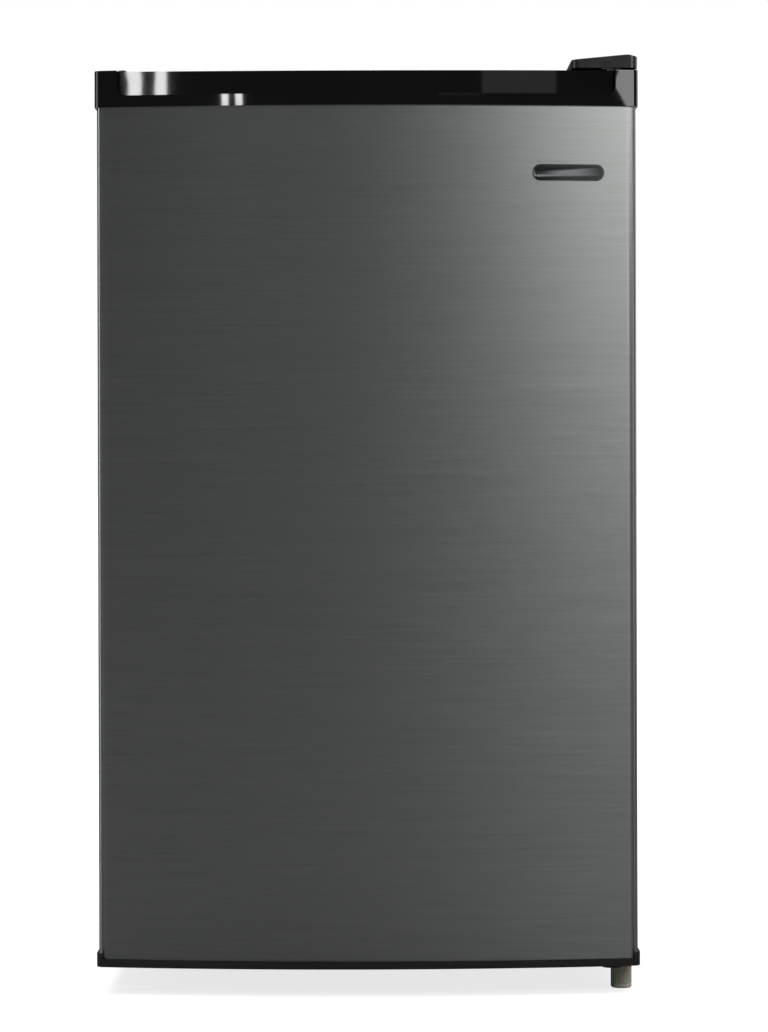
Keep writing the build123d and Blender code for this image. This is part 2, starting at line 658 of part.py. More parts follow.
def freezer_flap():
    """The freezer box's flap, with a pin at each lower corner and a finger ridge."""
    y = (FLAP_Y - FLAP_T / 2, FLAP_Y + FLAP_T / 2 - 1.0)
    plate = rounded((-FLAP_HALF, FLAP_HALF), y, FLAP_Z, 1.9, Axis.Y)
    middle = FLAP_Z[0] + FLAP_PIN_R
    pins = across((-FLAP_HALF - LUG_W + 1.0, FLAP_HALF + LUG_W - 1.0), FLAP_Y, middle, FLAP_PIN_R)
    ridge_z = (FLAP_Z[1] - 16.0, FLAP_Z[1] - 10.0)
    ridge = centred(60.0, (y[0] - 6.0, y[0] + 1.0), ridge_z)
    ridge = fillet(ridge.edges().filter_by(Axis.X).group_by(Axis.Y)[0], 2.0)
    return plate + pins + ridge


def drip_tray():
    """The tray that slides out from under the freezer box."""
    y = (SHELF_FRONT_Y, TRAY_BACK_Y)
    z = (TRAY_Z, TRAY_Z + TRAY_H)
    tray = open_box((-TRAY_HALF, TRAY_HALF), y, z, BIN_T, 6.0)
    top = TRAY_Z + TRAY_FLANGE_H + CLEAR
    for side in (-1, 1):
        x = sorted((side * (TRAY_HALF - 1.0), side * (SHELF_HALF - 1.5)))
        tray += block(x, (y[0] + TRAY_FLANGE_BACK, y[1] - 8.0), (top, top + 2.0))
    return tray


def glass_shelf(z, back_y):
    """A plate of toughened glass on two runners."""
    half = SHELF_HALF
    return rounded((-half, half), (SHELF_FRONT_Y, back_y), (z, z + GLASS_T), 3.0)


def shelf_trims():
    """The white strips along the front edges of the three glass plates."""
    trims = []
    for z in (SHELF_LOWER_Z, SHELF_UPPER_Z, CRISPER_COVER_Z):
        y = (SHELF_FRONT_Y - TRIM_D, SHELF_FRONT_Y)
        low = z + GLASS_T + 1.0 - TRIM_H
        trim = centred(SHELF_HALF - 1.0, y, (low, low + TRIM_H))
        trims.append(fillet(trim.edges().filter_by(Axis.X).group_by(Axis.Y)[0], 2.0))
    return Compound(trims)


def crisper_drawer():
    """The clear vegetable drawer, with a rolled grip along its front."""
    y = (SHELF_FRONT_Y, CRISPER_BACK_Y)
    z = (FLOOR_Z + CLEAR, CRISPER_TOP_Z)
    drawer = open_box((-CRISPER_HALF, CRISPER_HALF), y, z, BIN_T, 10.0)
    grip = centred(CRISPER_HALF - 20.0, (y[0] - 5.0, y[0] + 1.0), (z[1] - 16.0, z[1]))
    grip = fillet(grip.edges().filter_by(Axis.X).group_by(Axis.Y)[0], 2.4)
    return drawer + grip


def thermostat_housing():
    """The white box on the right wall that holds the thermostat."""
    x = (OPENING_HALF - HOUSING_D, OPENING_HALF)
    y = (DIAL_Y - HOUSING_HALF[0], DIAL_Y + HOUSING_HALF[0])
    z = (DIAL_Z - HOUSING_HALF[1], DIAL_Z + HOUSING_HALF[1])
    box = fillet(block(x, y, z).edges().filter_by(Axis.X), 6.0)
    box = fillet(box.edges().group_by(Axis.X)[0], 3.0)
    stem = across((x[0], x[0] + 12.0), DIAL_Y, DIAL_Z, DIAL_STEM_R + PIN_CLEAR)
    return box - stem


def thermostat_dial():
    """The dial, with a finger bar across its face."""
    x = OPENING_HALF - HOUSING_D - CLEAR
    dial = across((x - DIAL_T / 2, x), DIAL_Y, DIAL_Z, DIAL_R)
    dial = fillet(dial.edges().group_by(Axis.X)[0], 1.5)
    y = (DIAL_Y - 3.5, DIAL_Y + 3.5)
    bar = block((x - DIAL_T, x - DIAL_T / 2), y, (DIAL_Z - DIAL_R + 2, DIAL_Z + DIAL_R - 2))
    bar = fillet(bar.edges().group_by(Axis.X)[0], 1.5)
    stem = across((x, x + 11.0), DIAL_Y, DIAL_Z, DIAL_STEM_R)
    return dial + bar + stem


# Hinges and feet

def top_hinge_plate():
    """The upper hinge, a steel plate screwed to the cabinet's top."""
    z = (WORKTOP_Z, WORKTOP_Z + PLATE_T)
    foot = block((HINGE_X - 27.0, HINGE_X + 17.0), (CABINET_Y + 8.0, CABINET_Y + 36.0), z)
    arm = block((HINGE_X - ARM_R, HINGE_X + ARM_R), (HINGE_Y, CABINET_Y + 22.0), z)
    plate = foot + arm + upright(HINGE_X, HINGE_Y, z, ARM_R)
    pin = upright(HINGE_X, HINGE_Y, z, PIN_R)
    return plate - pin - hinge_plate_holes()


def top_hinge_pin():
    """The pin that drops from the plate into the upper bush."""
    return upright(HINGE_X, HINGE_Y, (DOOR_TOP_Z - BUSH_H + 2.0, WORKTOP_Z + PLATE_T), PIN_R)


def hinge_cover():
    """The black moulding over the upper hinge, sloping up towards the side."""
    return cover_form(0.0) - cover_form(COVER_T)


def cover_form(wall):
    """The hinge cover's outside, or its hollow when a wall is given."""
    left, right = COVER_RIGHT - COVER_W, COVER_RIGHT
    low, top = WORKTOP_Z, COVER_TOP_Z
    y = (FRONT_Y + DOOR_BOW + wall, CABINET_Y + 46.0 - wall)
    points = [
        (left + wall, low),
        (left + wall, top - COVER_SLOPE - wall),
        (right - 8.0, top - wall),
        (right - wall, top - 1.5 - wall),
        (right - wall, low),
    ]
    face = Plane.XZ * make_face(Polyline(*points, close=True))
    form = extrude(face, amount=y[1] - y[0])
    form = Pos(0, y[1] - form.bounding_box().max.Y, 0) * form
    if wall:
        return form
    form = fillet(form.edges().filter_by(Axis.Z), 6.0)
    return fillet(form.faces().sort_by(Axis.Z)[-1].edges(), 1.2)


def bottom_hinge_bracket():
    """The lower hinge bracket under the cabinet's front corner."""
    z = (BASE_Z - BRACKET_T, BASE_Z)
    foot_y = (HINGE_Y + 12.5, CABINET_Y + 48.0)
    foot = block((HINGE_X - 17.0, CABINET_HALF - 1.0), foot_y, z)
    arm = block((HINGE_X - ARM_R, HINGE_X + ARM_R), (HINGE_Y, HINGE_Y + 27.5), z)
    plate = foot + arm + upright(HINGE_X, HINGE_Y, z, ARM_R)
    plate -= upright(HINGE_X, HINGE_Y, z, PIN_R)
    plate -= upright(*RIGHT_FOOT, z, FOOT_STUD_R + PIN_CLEAR)
    holes = [upright(x, y, z, SCREW_R) for x, y in BASE_SCREWS]
    return plate - Compound(holes)


def bottom_hinge_pin():
    """The pin that stands on the bracket and carries the door."""
    return upright(HINGE_X, HINGE_Y, (BASE_Z - BRACKET_T, DOOR_Z + BUSH_H - 2.0), PIN_R)


def thrust_washer():
    """The plastic washer that the door's weight rests on."""
    z = (BASE_Z, BASE_Z + WASHER_T)
    ring = upright(HINGE_X, HINGE_Y, z, 8.0)
    return ring - upright(HINGE_X, HINGE_Y, z, PIN_R + PIN_CLEAR)


def hinge_screws():
    """The screws of both hinges."""
    top = WORKTOP_Z + PLATE_T
    bottom = BASE_Z - BRACKET_T
    screws = [screw(x, y, top, 12.0) for x, y in TOP_SCREWS]
    screws += [screw(x, y, bottom, BRACKET_T + STEEL_T, False) for x, y in BASE_SCREWS]
    return Compound(screws)


def front_foot(place):
    """A levelling foot: a nylon body on a threaded stud."""
    body = upright(*place, (0, FOOT_H), FOOT_R)
    body = fillet(body.edges().group_by(Axis.Z)[0], 1.0)
    return body + upright(*place, (FOOT_H, BASE_Z), FOOT_STUD_R)


def rear_feet():
    """The two fixed feet under the compressor rail."""
    x, y = REAR_FOOT
    foot = upright(x, y, (0, BASE_Z), REAR_FOOT_R)
    foot = fillet(foot.edges().group_by(Axis.Z)[0], 2.0)
    return Compound([foot, mirror(foot, Plane.YZ)])


# Refrigeration circuit


def comp_form(z, shrink, domed_up):
    """Half of the compressor's shell as a solid, domed at one end."""
    section = Ellipse(COMP_RX - shrink, COMP_RY - shrink)
    form = Pos(COMP_X, COMP_Y, z[0]) * extrude(section, amount=z[1] - z[0])
    end = -1 if domed_up else 0
    return fillet(form.edges().group_by(Axis.Z)[end], COMP_DOME_R - shrink)


def compressor_shell(upper):
    """One deep-drawn half of the compressor's shell."""
    if upper:
        z = (COMP_SEAM_Z, COMP_Z[1])
        inside = (z[0], z[1] - COMP_WALL)
    else:
        z = (COMP_Z[0], COMP_SEAM_Z)
        inside = (z[0] + COMP_WALL, z[1])
    shell = comp_form(z, 0, upper)
    rim_z = (COMP_SEAM_Z, COMP_SEAM_Z + 5.0) if upper else (COMP_SEAM_Z - 5.0, COMP_SEAM_Z)
    rim = Ellipse(COMP_RX + 3.0, COMP_RY + 3.0)
    shell += Pos(COMP_X, COMP_Y, rim_z[0]) * extrude(rim, amount=rim_z[1] - rim_z[0])
    if not upper:
        x, y = COMP_FEET
        wide, deep = (COMP_X - x - 12, COMP_X + x + 12), (COMP_Y - y - 12, COMP_Y + y + 12)
        foot = block(wide, deep, (COMP_Z[0], COMP_Z[0] + 3.0))
        shell += fillet(foot.edges().filter_by(Axis.Z), 10.0)
        for bolt_x, bolt_y in compressor_corners():
            shell -= upright(bolt_x, bolt_y, (COMP_Z[0], COMP_Z[0] + 3.0), BOLT_R)
    return shell - comp_form(inside, COMP_WALL, upper)


def compressor_corners():
    """Where the compressor's four mounting bolts stand."""
    x, y = COMP_FEET
    return [(COMP_X + i * x, COMP_Y + j * y) for i in (-1, 1) for j in (-1, 1)]


def compressor_motor():
    """The pump and motor inside the shell, as one block."""
    body = upright(COMP_X, COMP_Y, (COMP_Z[0] + 12.0, COMP_Z[1] - 30.0), COMP_RY - 12.0)
    reach = COMP_RX - 20.0
    x = (COMP_X - reach, COMP_X + reach)
    return body + block(x, (COMP_Y - 12.0, COMP_Y + 12.0), (COMP_SEAM_Z, COMP_SEAM_Z + 24.0))


def gland_disc(radius, thickness, y):
    """A disc on the gland's axis, which runs front to back."""
    return Pos(GLAND_X, y, GLAND_Z) * Rot(90, 0, 0) * Cylinder(radius, thickness)


def compressor_rail():
    """The steel rail across the bay that carries the compressor and the rear feet."""
    half = CABINET_HALF - STEEL_T
    plate = centred(half, (BAY_FRONT_Y, RIM_Y), (BASE_Z, BASE_Z + RAIL_T))
    rim = centred(half, (RIM_Y - RAIL_T, RIM_Y), (BASE_Z, BASE_Z + RAIL_RIM_H))
    rail = plate + rim
    for x, y in compressor_corners():
        rail -= upright(x, y, (BASE_Z, BASE_Z + RAIL_T), BOLT_R)
    return rail - gland_disc(GLAND_R, RAIL_T, RIM_Y - RAIL_T / 2)


def cord_gland():
    """The rubber bush that a supply cord would pass through."""
    middle = RIM_Y - RAIL_T / 2
    flange_t = 1.5 * RAIL_T
    gland = gland_disc(GLAND_R, RAIL_T, middle)
    for side in (-1, 1):
        y = middle + side * (RAIL_T + flange_t) / 2
        gland += gland_disc(GLAND_FLANGE_R, flange_t, y)
    return gland - gland_disc(GLAND_BORE_R, RAIL_T + 2 * flange_t, middle)


def compressor_grommets():
    """Four rubber mounts between the rail and the compressor's feet."""
    z = (BASE_Z + RAIL_T, COMP_Z[0])
    grommets = []
    for x, y in compressor_corners():
        grommets.append(upright(x, y, z, GROMMET_R) - upright(x, y, z, BOLT_R))
    return Compound(grommets)


def compressor_bolts():
    """The four bolts through the rubber mounts."""
    bolts = []
    for x, y in compressor_corners():
        shank = upright(x, y, (BASE_Z, COMP_Z[0] + 3.0), BOLT_R)
        head_z = COMP_Z[0] + 3.0
        head = Pos(x, y, head_z) * extrude(RegularPolygon(2 * BOLT_R, 6), amount=4.0)
        bolts.append(shank + head)
    return Compound(bolts)


def relay_cover():
    """The black cover over the compressor's starting relay."""
    x = COMP_X + COMP_RX
    z = (COMP_Z[0] + 11.0, COMP_Z[0] + 65.0)
    box = block((x - 12.0, x + 26.0), (COMP_Y - 28.0, COMP_Y + 28.0), z)
    box = fillet(box.edges().filter_by(Axis.X), 5.0)
    return box - comp_form((COMP_Z[0], COMP_SEAM_Z), 0, False)


def evaporation_tray():
    """The tray on the compressor that dries off the thaw water."""
    x = (COMP_X - 50.0, COMP_X + 50.0)
    y = (COMP_Y - 38.0, COMP_Y + 38.0)
    return open_box(x, y, (COMP_Z[1], COMP_Z[1] + 16.0), 1.5, 8.0)


def drain_tube():
    """The tube that lets thaw water down into the evaporation tray."""
    z = (COMP_Z[1] + 6.0, BAY_TOP_Z + STEEL_T)
    return upright(DRAIN_X, COMP_Y, z, DRAIN_R) - upright(DRAIN_X, COMP_Y, z, DRAIN_R - 1.2)


def suction_tube():
    """The copper tube that returns gas to the compressor."""
    left = COMP_X - COMP_RX
    z, bend_z = BAY_TOP_Z - 72.0, BAY_TOP_Z - 40.0
    points = [(left, COMP_Y, z), (SUCTION_X, COMP_Y, z), (SUCTION_X, SUCTION_Y, bend_z)]
    points.append((SUCTION_X, SUCTION_Y, BAY_TOP_Z + STEEL_T))
    return tube(points, SUCTION_R, 14.0)


def discharge_tube():
    """The tube from the compressor up to the condenser's top row."""
    right, side = COMP_X + COMP_RX, CABINET_HALF - 8.0
    z = BAY_TOP_Z - 66.0
    points = [(right, COMP_Y, z), (side - 61.0, COMP_Y, z), (side, REAR_Y - 7.0, z + 24.0)]
    points += [(side, COIL_Y, z + 50.0), (side, COIL_Y, COIL_TOP_Z), (ROW_HALF, COIL_Y, COIL_TOP_Z)]
    return tube(points, TUBE_R, 12.0)


def condenser_tube():
    """The serpentine tube, from the filter drier to its top row."""
    x, y = DRIER
    points = [(x, y, DRIER_Z[1]), (x, y, BAY_TOP_Z - 32.0), (x, COIL_Y, BAY_TOP_Z - 6.0)]
    points.append((x, COIL_Y, ROW_Z))
    bends = [10.0, 10.0, 10.0]
    for row in range(ROWS):
        z = ROW_Z + row * ROW_PITCH
        away = 1 if row % 2 == 0 else -1
        if row:
            points.append((-away * (ROW_HALF + 18.0), COIL_Y, z))
            bends.append(ROW_PITCH / 2 - 0.5)
        if row < ROWS - 1:
            points.append((away * (ROW_HALF + 18.0), COIL_Y, z))
            bends.append(ROW_PITCH / 2 - 0.5)
    points.append((ROW_HALF, COIL_Y, COIL_TOP_Z))
    path = FilletPolyline(*points, radius=bends)
    section = Plane(path @ 0, z_dir=path % 0) * Circle(TUBE_R)
    return sweep(section, path)


def condenser_wires():
    """Upright wires welded to both sides of the serpentine."""
    z = (ROW_Z - WIRE_OVERRUN, COIL_TOP_Z + WIRE_OVERRUN)
    wires = []
    for side in (-1, 1):
        y = COIL_Y + side * (TUBE_R + WIRE_R)
        for i in range(WIRES):
            x = (i - (WIRES - 1) / 2) * WIRE_PITCH
            wires.append(upright(x, y, z, WIRE_R))
    return Compound(wires)


def condenser_clips():
    """Four clips that hold the coil off the rear panel."""
    clips = []
    for row in CLIP_ROWS:
        z = ROW_Z + row * ROW_PITCH
        for side in (-1, 1):
            x = side * CLIP_X
            wide, tall = (x - CLIP_W / 2, x + CLIP_W / 2), (z - CLIP_H / 2, z + CLIP_H / 2)
            clip = block(wide, (REAR_Y, BACK_Y), tall)
            clip = fillet(clip.edges().filter_by(Axis.X).group_by(Axis.Y)[-1], 3.0)
            clips.append(clip - across((x - CLIP_W, x + CLIP_W), COIL_Y, z, TUBE_R))
    return Compound(clips)


def filter_drier():
    """The copper drier between the condenser and the capillary."""
    body = upright(*DRIER, DRIER_Z, DRIER_R)
    return fillet(body.edges().group_by(Axis.Z)[0] + body.edges().group_by(Axis.Z)[-1], 5.0)


def capillary_tube():
    """The thin tube from the drier back up into the cabinet."""
    x, y = DRIER
    low = DRIER_Z[0]
    turn = low - 22.0
    points = [(x, y, low), (x, y, turn), (CAPILLARY_X, y, turn)]
    points.append((CAPILLARY_X, y, BAY_TOP_Z + STEEL_T))
    return tube(points, CAPILLARY_R, 14.0)


def panel_screw_places():
    """Where the rear panel's screws go through it."""
    edge = CABINET_HALF - 12.0
    low, high = BAY_TOP_Z + 12.0, PANEL_TOP_Z - 12.0
    between = [low + (high - low) * share for share in (1 / 3, 2 / 3)]
    places = [(side * (CABINET_HALF - 84.0), low) for side in (-1, 1)]
    return places + [(side * edge, z) for side in (-1, 1) for z in (*between, high)]


def panel_screws():
    """The screws down both edges of the rear panel."""
    facing_back = Rot(-90, 0, 0) * screw(0, 0, 0, STEEL_T)
    return Compound([Pos(x, REAR_Y, z) * facing_back for x, z in panel_screw_places()])


def build():
    """Every sub-part by name."""
    top_rail_z = (CEILING_Z + LINER_T, PANEL_TOP_Z)
    parts = {
        "door_skin": door_skin(),
        "door_cap_top": door_cap_top(),
        "door_cap_bottom": door_cap_bottom(),
        "door_liner": door_liner(),
        "door_foam": door_foam(),
        "door_gasket": door_gasket(),
        "door_bin_upper": door_bin(*BIN_UPPER),
        "door_bin_middle": door_bin(*BIN_MIDDLE),
        "door_bin_lower": door_bin(*BIN_LOWER),
        "bottle_rail": bottle_rail(),
        "hinge_bushes": hinge_bushes(),
        "hinge_hole_plug": hinge_hole_plug(),
        "side_panel_left": side_panel(-1),
        "side_panel_right": side_panel(1),
        "worktop": worktop(),
        "rear_panel": rear_panel(),
        "base_pan": base_pan(),
        "front_rail_top": front_rail(top_rail_z),
        "front_rail_bottom": front_rail((BASE_Z, FLOOR_Z - LINER_T)),
        "inner_liner": inner_liner(),
        "cabinet_foam": cabinet_foam(),
        "evaporator": evaporator(),
        "freezer_bezel": freezer_bezel(),
        "freezer_flap": freezer_flap(),
        "drip_tray": drip_tray(),
        "glass_shelf_lower": glass_shelf(SHELF_LOWER_Z, SHELF_BACK_Y),
        "glass_shelf_upper": glass_shelf(SHELF_UPPER_Z, SHELF_BACK_Y),
        "crisper_cover": glass_shelf(CRISPER_COVER_Z, HUMP_Y),
        "shelf_trims": shelf_trims(),
        "crisper_drawer": crisper_drawer(),
        "thermostat_housing": thermostat_housing(),
        "thermostat_dial": thermostat_dial(),
        "top_hinge_plate": top_hinge_plate(),
        "top_hinge_pin": top_hinge_pin(),
        "hinge_cover": hinge_cover(),
        "bottom_hinge_bracket": bottom_hinge_bracket(),
        "bottom_hinge_pin": bottom_hinge_pin(),
        "thrust_washer": thrust_washer(),
        "hinge_screws": hinge_screws(),
        "front_foot_right": front_foot(RIGHT_FOOT),
        "front_foot_left": front_foot(LEFT_FOOT),
        "rear_feet": rear_feet(),
        "compressor_shell_top": compressor_shell(True),
        "compressor_shell_bottom": compressor_shell(False),
        "compressor_motor": compressor_motor(),
        "compressor_rail": compressor_rail(),
        "compressor_grommets": compressor_grommets(),
        "compressor_bolts": compressor_bolts(),
        "relay_cover": relay_cover(),
        "evaporation_tray": evaporation_tray(),
        "drain_tube": drain_tube(),
        "suction_tube": suction_tube(),
        "discharge_tube": discharge_tube(),
        "condenser_tube": condenser_tube(),
        "condenser_wires": condenser_wires(),
        "condenser_clips": condenser_clips(),
        "filter_drier": filter_drier(),
        "capillary_tube": capillary_tube(),
        "cord_gland": cord_gland(),
        "panel_screws": panel_screws(),
    }
    return parts


os.makedirs("parts", exist_ok=True)
for name, shape in build().items():
    export_step(shape, f"parts/{name}.step")
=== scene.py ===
import json
import math

import bmesh
import bpy
from mathutils import Euler, Matrix, Vector


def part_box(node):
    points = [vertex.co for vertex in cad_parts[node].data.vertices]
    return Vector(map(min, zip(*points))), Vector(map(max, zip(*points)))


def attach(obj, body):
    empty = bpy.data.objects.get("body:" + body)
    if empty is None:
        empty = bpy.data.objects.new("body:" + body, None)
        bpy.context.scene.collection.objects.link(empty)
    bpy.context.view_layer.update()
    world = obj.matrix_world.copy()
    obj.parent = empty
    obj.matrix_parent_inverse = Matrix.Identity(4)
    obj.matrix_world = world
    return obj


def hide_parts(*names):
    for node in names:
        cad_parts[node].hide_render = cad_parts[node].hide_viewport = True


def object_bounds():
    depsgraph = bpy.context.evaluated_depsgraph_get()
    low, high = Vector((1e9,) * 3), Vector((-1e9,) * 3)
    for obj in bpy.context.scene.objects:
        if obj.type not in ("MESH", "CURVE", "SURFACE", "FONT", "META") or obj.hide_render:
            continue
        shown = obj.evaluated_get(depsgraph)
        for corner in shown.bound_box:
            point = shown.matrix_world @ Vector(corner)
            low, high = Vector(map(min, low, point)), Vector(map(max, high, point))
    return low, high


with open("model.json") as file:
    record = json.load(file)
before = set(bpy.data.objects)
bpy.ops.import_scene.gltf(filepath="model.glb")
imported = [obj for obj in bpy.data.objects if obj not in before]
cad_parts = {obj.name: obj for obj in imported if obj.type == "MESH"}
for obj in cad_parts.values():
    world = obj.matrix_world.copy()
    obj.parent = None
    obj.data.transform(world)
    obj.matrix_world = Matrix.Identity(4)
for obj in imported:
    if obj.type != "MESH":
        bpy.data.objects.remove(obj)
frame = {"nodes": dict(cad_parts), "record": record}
cad_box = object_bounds()

MM = 0.001
BOW = 20.0  # the crown of the door stands this far in front of its side edges
LOW, HIGH = cad_box


def span(node):
    """A CAD node's two corners, in millimetres."""
    low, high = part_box(node)
    return [v / MM for v in low], [v / MM for v in high]


# Materials


def linear(hex_colour):
    """An sRGB hex colour as linear red, green, blue and alpha."""
    channels = [int(hex_colour[i : i + 2], 16) / 255 for i in (1, 3, 5)]
    low = [c / 12.92 if c <= 0.04045 else ((c + 0.055) / 1.055) ** 2.4 for c in channels]
    return (*low, 1.0)


def add(tree, kind, inputs=None, **settings):
    """A node with its settings, its input values and its links."""
    node = tree.nodes.new(kind)
    for key, value in settings.items():
        setattr(node, key, value)
    for key, value in (inputs or {}).items():
        socket = node.inputs[key]
        if isinstance(value, bpy.types.NodeSocket):
            tree.links.new(value, socket)
        else:
            socket.default_value = value
    return node


def new_material(name):
    """A material with an output, a principled shader and object coordinates."""
    material = bpy.data.materials.new(name)
    material.use_nodes = True
    tree = material.node_tree
    tree.nodes.clear()
    shader = add(tree, "ShaderNodeBsdfPrincipled")
    output = add(tree, "ShaderNodeOutputMaterial")
    tree.links.new(shader.outputs["BSDF"], output.inputs["Surface"])
    place = add(tree, "ShaderNodeTexCoord").outputs["Object"]
    return material, tree, shader, place


def set_shader(shader, **values):
    """Constant values on the shader's own sockets."""
    for key, value in values.items():
        shader.inputs[key.replace("_", " ")].default_value = value


def noise(tree, place, size_mm, detail=2.0, stretch=(1, 1, 1), roughness=0.5):
    """Noise whose features are about size_mm across, stretched along each axis."""
    scale = [1.0 / (size_mm * MM * s) for s in stretch]
    moved = add(tree, "ShaderNodeMapping", {"Vector": place, "Scale": scale})
    vector = moved.outputs["Vector"]
    inputs = {"Vector": vector, "Scale": 1.0, "Detail": detail, "Roughness": roughness}
    return add(tree, "ShaderNodeTexNoise", inputs).outputs["Fac"]


def ramp(tree, value, low, high, at=(0.3, 0.7)):
    """A value mapped from the span at to the span low to high."""
    inputs = {"Value": value, "From Min": at[0], "From Max": at[1], "To Min": low, "To Max": high}
    return add(tree, "ShaderNodeMapRange", inputs).outputs["Result"]


def tint(tree, value, dark, light):
    """A colour between two hex colours."""
    inputs = {0: value, 6: linear(dark), 7: linear(light)}
    return add(tree, "ShaderNodeMix", inputs, data_type="RGBA").outputs[2]


def maths(tree, operation, first, second=0.0):
    """The result of an operation on one or two values."""
    return add(tree, "ShaderNodeMath", {0: first, 1: second}, operation=operation).outputs[0]


def bump(tree, shader, height, depth_mm):
    """Relief of a real depth on the shader's normal."""
    node = add(tree, "ShaderNodeBump", {"Height": height, "Distance": depth_mm * MM})
    tree.links.new(node.outputs["Normal"], shader.inputs["Normal"])


def finish(name, dark, light, size_mm, rough, relief_mm, values, stretch=(1, 1, 1)):
    """A moulded, painted or metal finish: cloudy colour, uneven gloss and fine relief."""
    material, tree, shader, place = new_material(name)
    cloud = noise(tree, place, size_mm * 12, 3.0, stretch)
    grain = noise(tree, place, size_mm, 3.0, stretch)
    colour = tint(tree, ramp(tree, cloud, 0.0, 1.0), dark, light)
    tree.links.new(colour, shader.inputs["Base Color"])
    tree.links.new(ramp(tree, cloud, rough[0], rough[1]), shader.inputs["Roughness"])
    bump(tree, shader, grain, relief_mm)
    set_shader(shader, **values)
    return material


def brushed_door():
    """Steel sheet brushed from side to side, under a smoke-grey film: fine level lines."""
    material, tree, shader, place = new_material("brushed_graphite_steel")
    # The real lines are about 0.1 mm; these are 0.8 mm, so that they show.
    lines = noise(tree, place, 0.8, 2.0, (28, 28, 1), 0.6)
    broad = noise(tree, place, 3.0, 2.0, (40, 40, 1), 0.6)
    half = maths(tree, "MULTIPLY", maths(tree, "ADD", lines, broad), 0.5)
    tone = ramp(tree, half, 0.0, 1.0)
    tree.links.new(tint(tree, tone, "#7b7e7c", "#868987"), shader.inputs["Base Color"])
    tree.links.new(ramp(tree, half, 0.38, 0.42), shader.inputs["Roughness"])
    bump(tree, shader, lines, 0.0012)
    # Grooves from side to side stretch each highlight up and down.
    tangent = add(tree, "ShaderNodeTangent", direction_type="RADIAL", axis="Z")
    tree.links.new(tangent.outputs["Tangent"], shader.inputs["Tangent"])
    set_shader(shader, Metallic=1.0, Anisotropic=0.38, Anisotropic_Rotation=0.25)
    return material


GLOSS = {"IOR": 1.53, "Metallic": 0.0}
# High-gloss black ABS from a polished mould: deep black, sharp but slightly wavy reflections.
black_abs = finish("gloss_black_abs", "#060607", "#0a0a0b", 9.0, (0.02, 0.035), 0.002, GLOSS)
# Black ABS from a spark-eroded mould: a fine even grain that dulls the highlights.
grained_abs = finish("grained_black_abs", "#0b0b0c", "#121213", 1.0, (0.30, 0.38), 0.03, GLOSS)
# Black coil-coated steel with a stippled finish: small soft pits under a low sheen.
paint = finish("stippled_black_coated_steel", "#0e0e0f", "#151516", 1.8, (0.30, 0.38), 0.05, GLOSS)
# White high-impact polystyrene, vacuum formed: soft gloss, faint waves.
polystyrene = finish(
    "vacuum_formed_white_polystyrene", "#e6e8e7", "#eaeceb", 14.0, (0.25, 0.29), 0.008,
    {"IOR": 1.59, "Subsurface_Weight": 0.05, "Subsurface_Scale": 0.002},
)
# White moulded polystyrene for trims and housings: cleaner and a little glossier than the liner.
white_moulding = finish(
    "moulded_white_polystyrene", "#e9eae9", "#eeeeed", 2.5, (0.26, 0.30), 0.003, {"IOR": 1.59}
)
# Rigid polyurethane foam: pale yellow with small cells.
foam = finish("polyurethane_foam", "#c9b77c", "#d8c98f", 1.5, (0.85, 0.95), 0.3, {"IOR": 1.5})
# Plasticised grey PVC, extruded: dull with faint lengthwise streaks.
gasket_pvc = finish(
    "extruded_grey_pvc", "#4b4d4f", "#565859", 2.0, (0.5, 0.62), 0.03, {"IOR": 1.52}
)
# Mill-finish aluminium sheet: soft directional lines from rolling.
aluminium = finish(
    "rolled_aluminium_sheet", "#c3c6c8", "#d6d8d9", 1.5, (0.28, 0.4), 0.02, {"Metallic": 1.0},
    stretch=(1, 30, 1),
)
# Zinc-plated steel: bluish grey with cloudy passivation.
zinc = finish("zinc_plated_steel", "#a9adb2", "#c2c4c6", 1.2, (0.26, 0.4), 0.01, {"Metallic": 1.0})
# Air-drying black enamel over steel wire and pressings: thick, slightly orange-peeled.
enamel = finish(
    "black_enamel_on_steel", "#0a0a0a", "#121213", 2.2, (0.22, 0.34), 0.04, {"IOR": 1.5}
)
# Drawn copper tube, a little tarnished.
copper = finish(
    "drawn_copper_tube", "#a8633f", "#c98258", 3.0, (0.22, 0.42), 0.015, {"Metallic": 1.0}
)
# Natural nylon, injection moulded: milky and slightly see-through.
nylon = finish(
    "natural_moulded_nylon", "#b9b4a9", "#c9c4b9", 2.0, (0.32, 0.42), 0.01,
    {"IOR": 1.53, "Subsurface_Weight": 0.4, "Subsurface_Scale": 0.004},
)
# Black carbon-filled rubber: matte, with mould texture.
rubber = finish("moulded_black_rubber", "#0e0e0e", "#171717", 1.0, (0.7, 0.85), 0.05, {"IOR": 1.52})
# Chromium-plated steel rod: bright, sharp reflections.
chrome = finish(
    "chrome_plated_rod", "#d5d7da", "#e4e5e7", 4.0, (0.06, 0.12), 0.002, {"Metallic": 1.0}
)
# Clear polystyrene, injection moulded: faint flow lines, a slightly blue body.
clear = finish(
    "clear_moulded_polystyrene", "#f1f8fb", "#f7fbfd", 12.0, (0.05, 0.12), 0.01,
    {"IOR": 1.59, "Transmission_Weight": 0.85},
)
# Toughened float glass with a faint green body.
glass = finish(
    "toughened_float_glass", "#e9f6f0", "#f1faf5", 30.0, (0.01, 0.03), 0.002,
    {"IOR": 1.52, "Transmission_Weight": 1.0},
)
# Grey pad-printed ink: flat, slightly rough.
ink = finish("grey_pad_printed_ink", "#3c4246", "#484e52", 1.0, (0.5, 0.6), 0.002, {"IOR": 1.5})
# Smoke-plated ABS: a dark mirror, a little soft.
smoked = finish(
    "smoke_plated_abs", "#3b3d3e", "#434546", 3.0, (0.2, 0.26), 0.002, {"Metallic": 1.0}
)
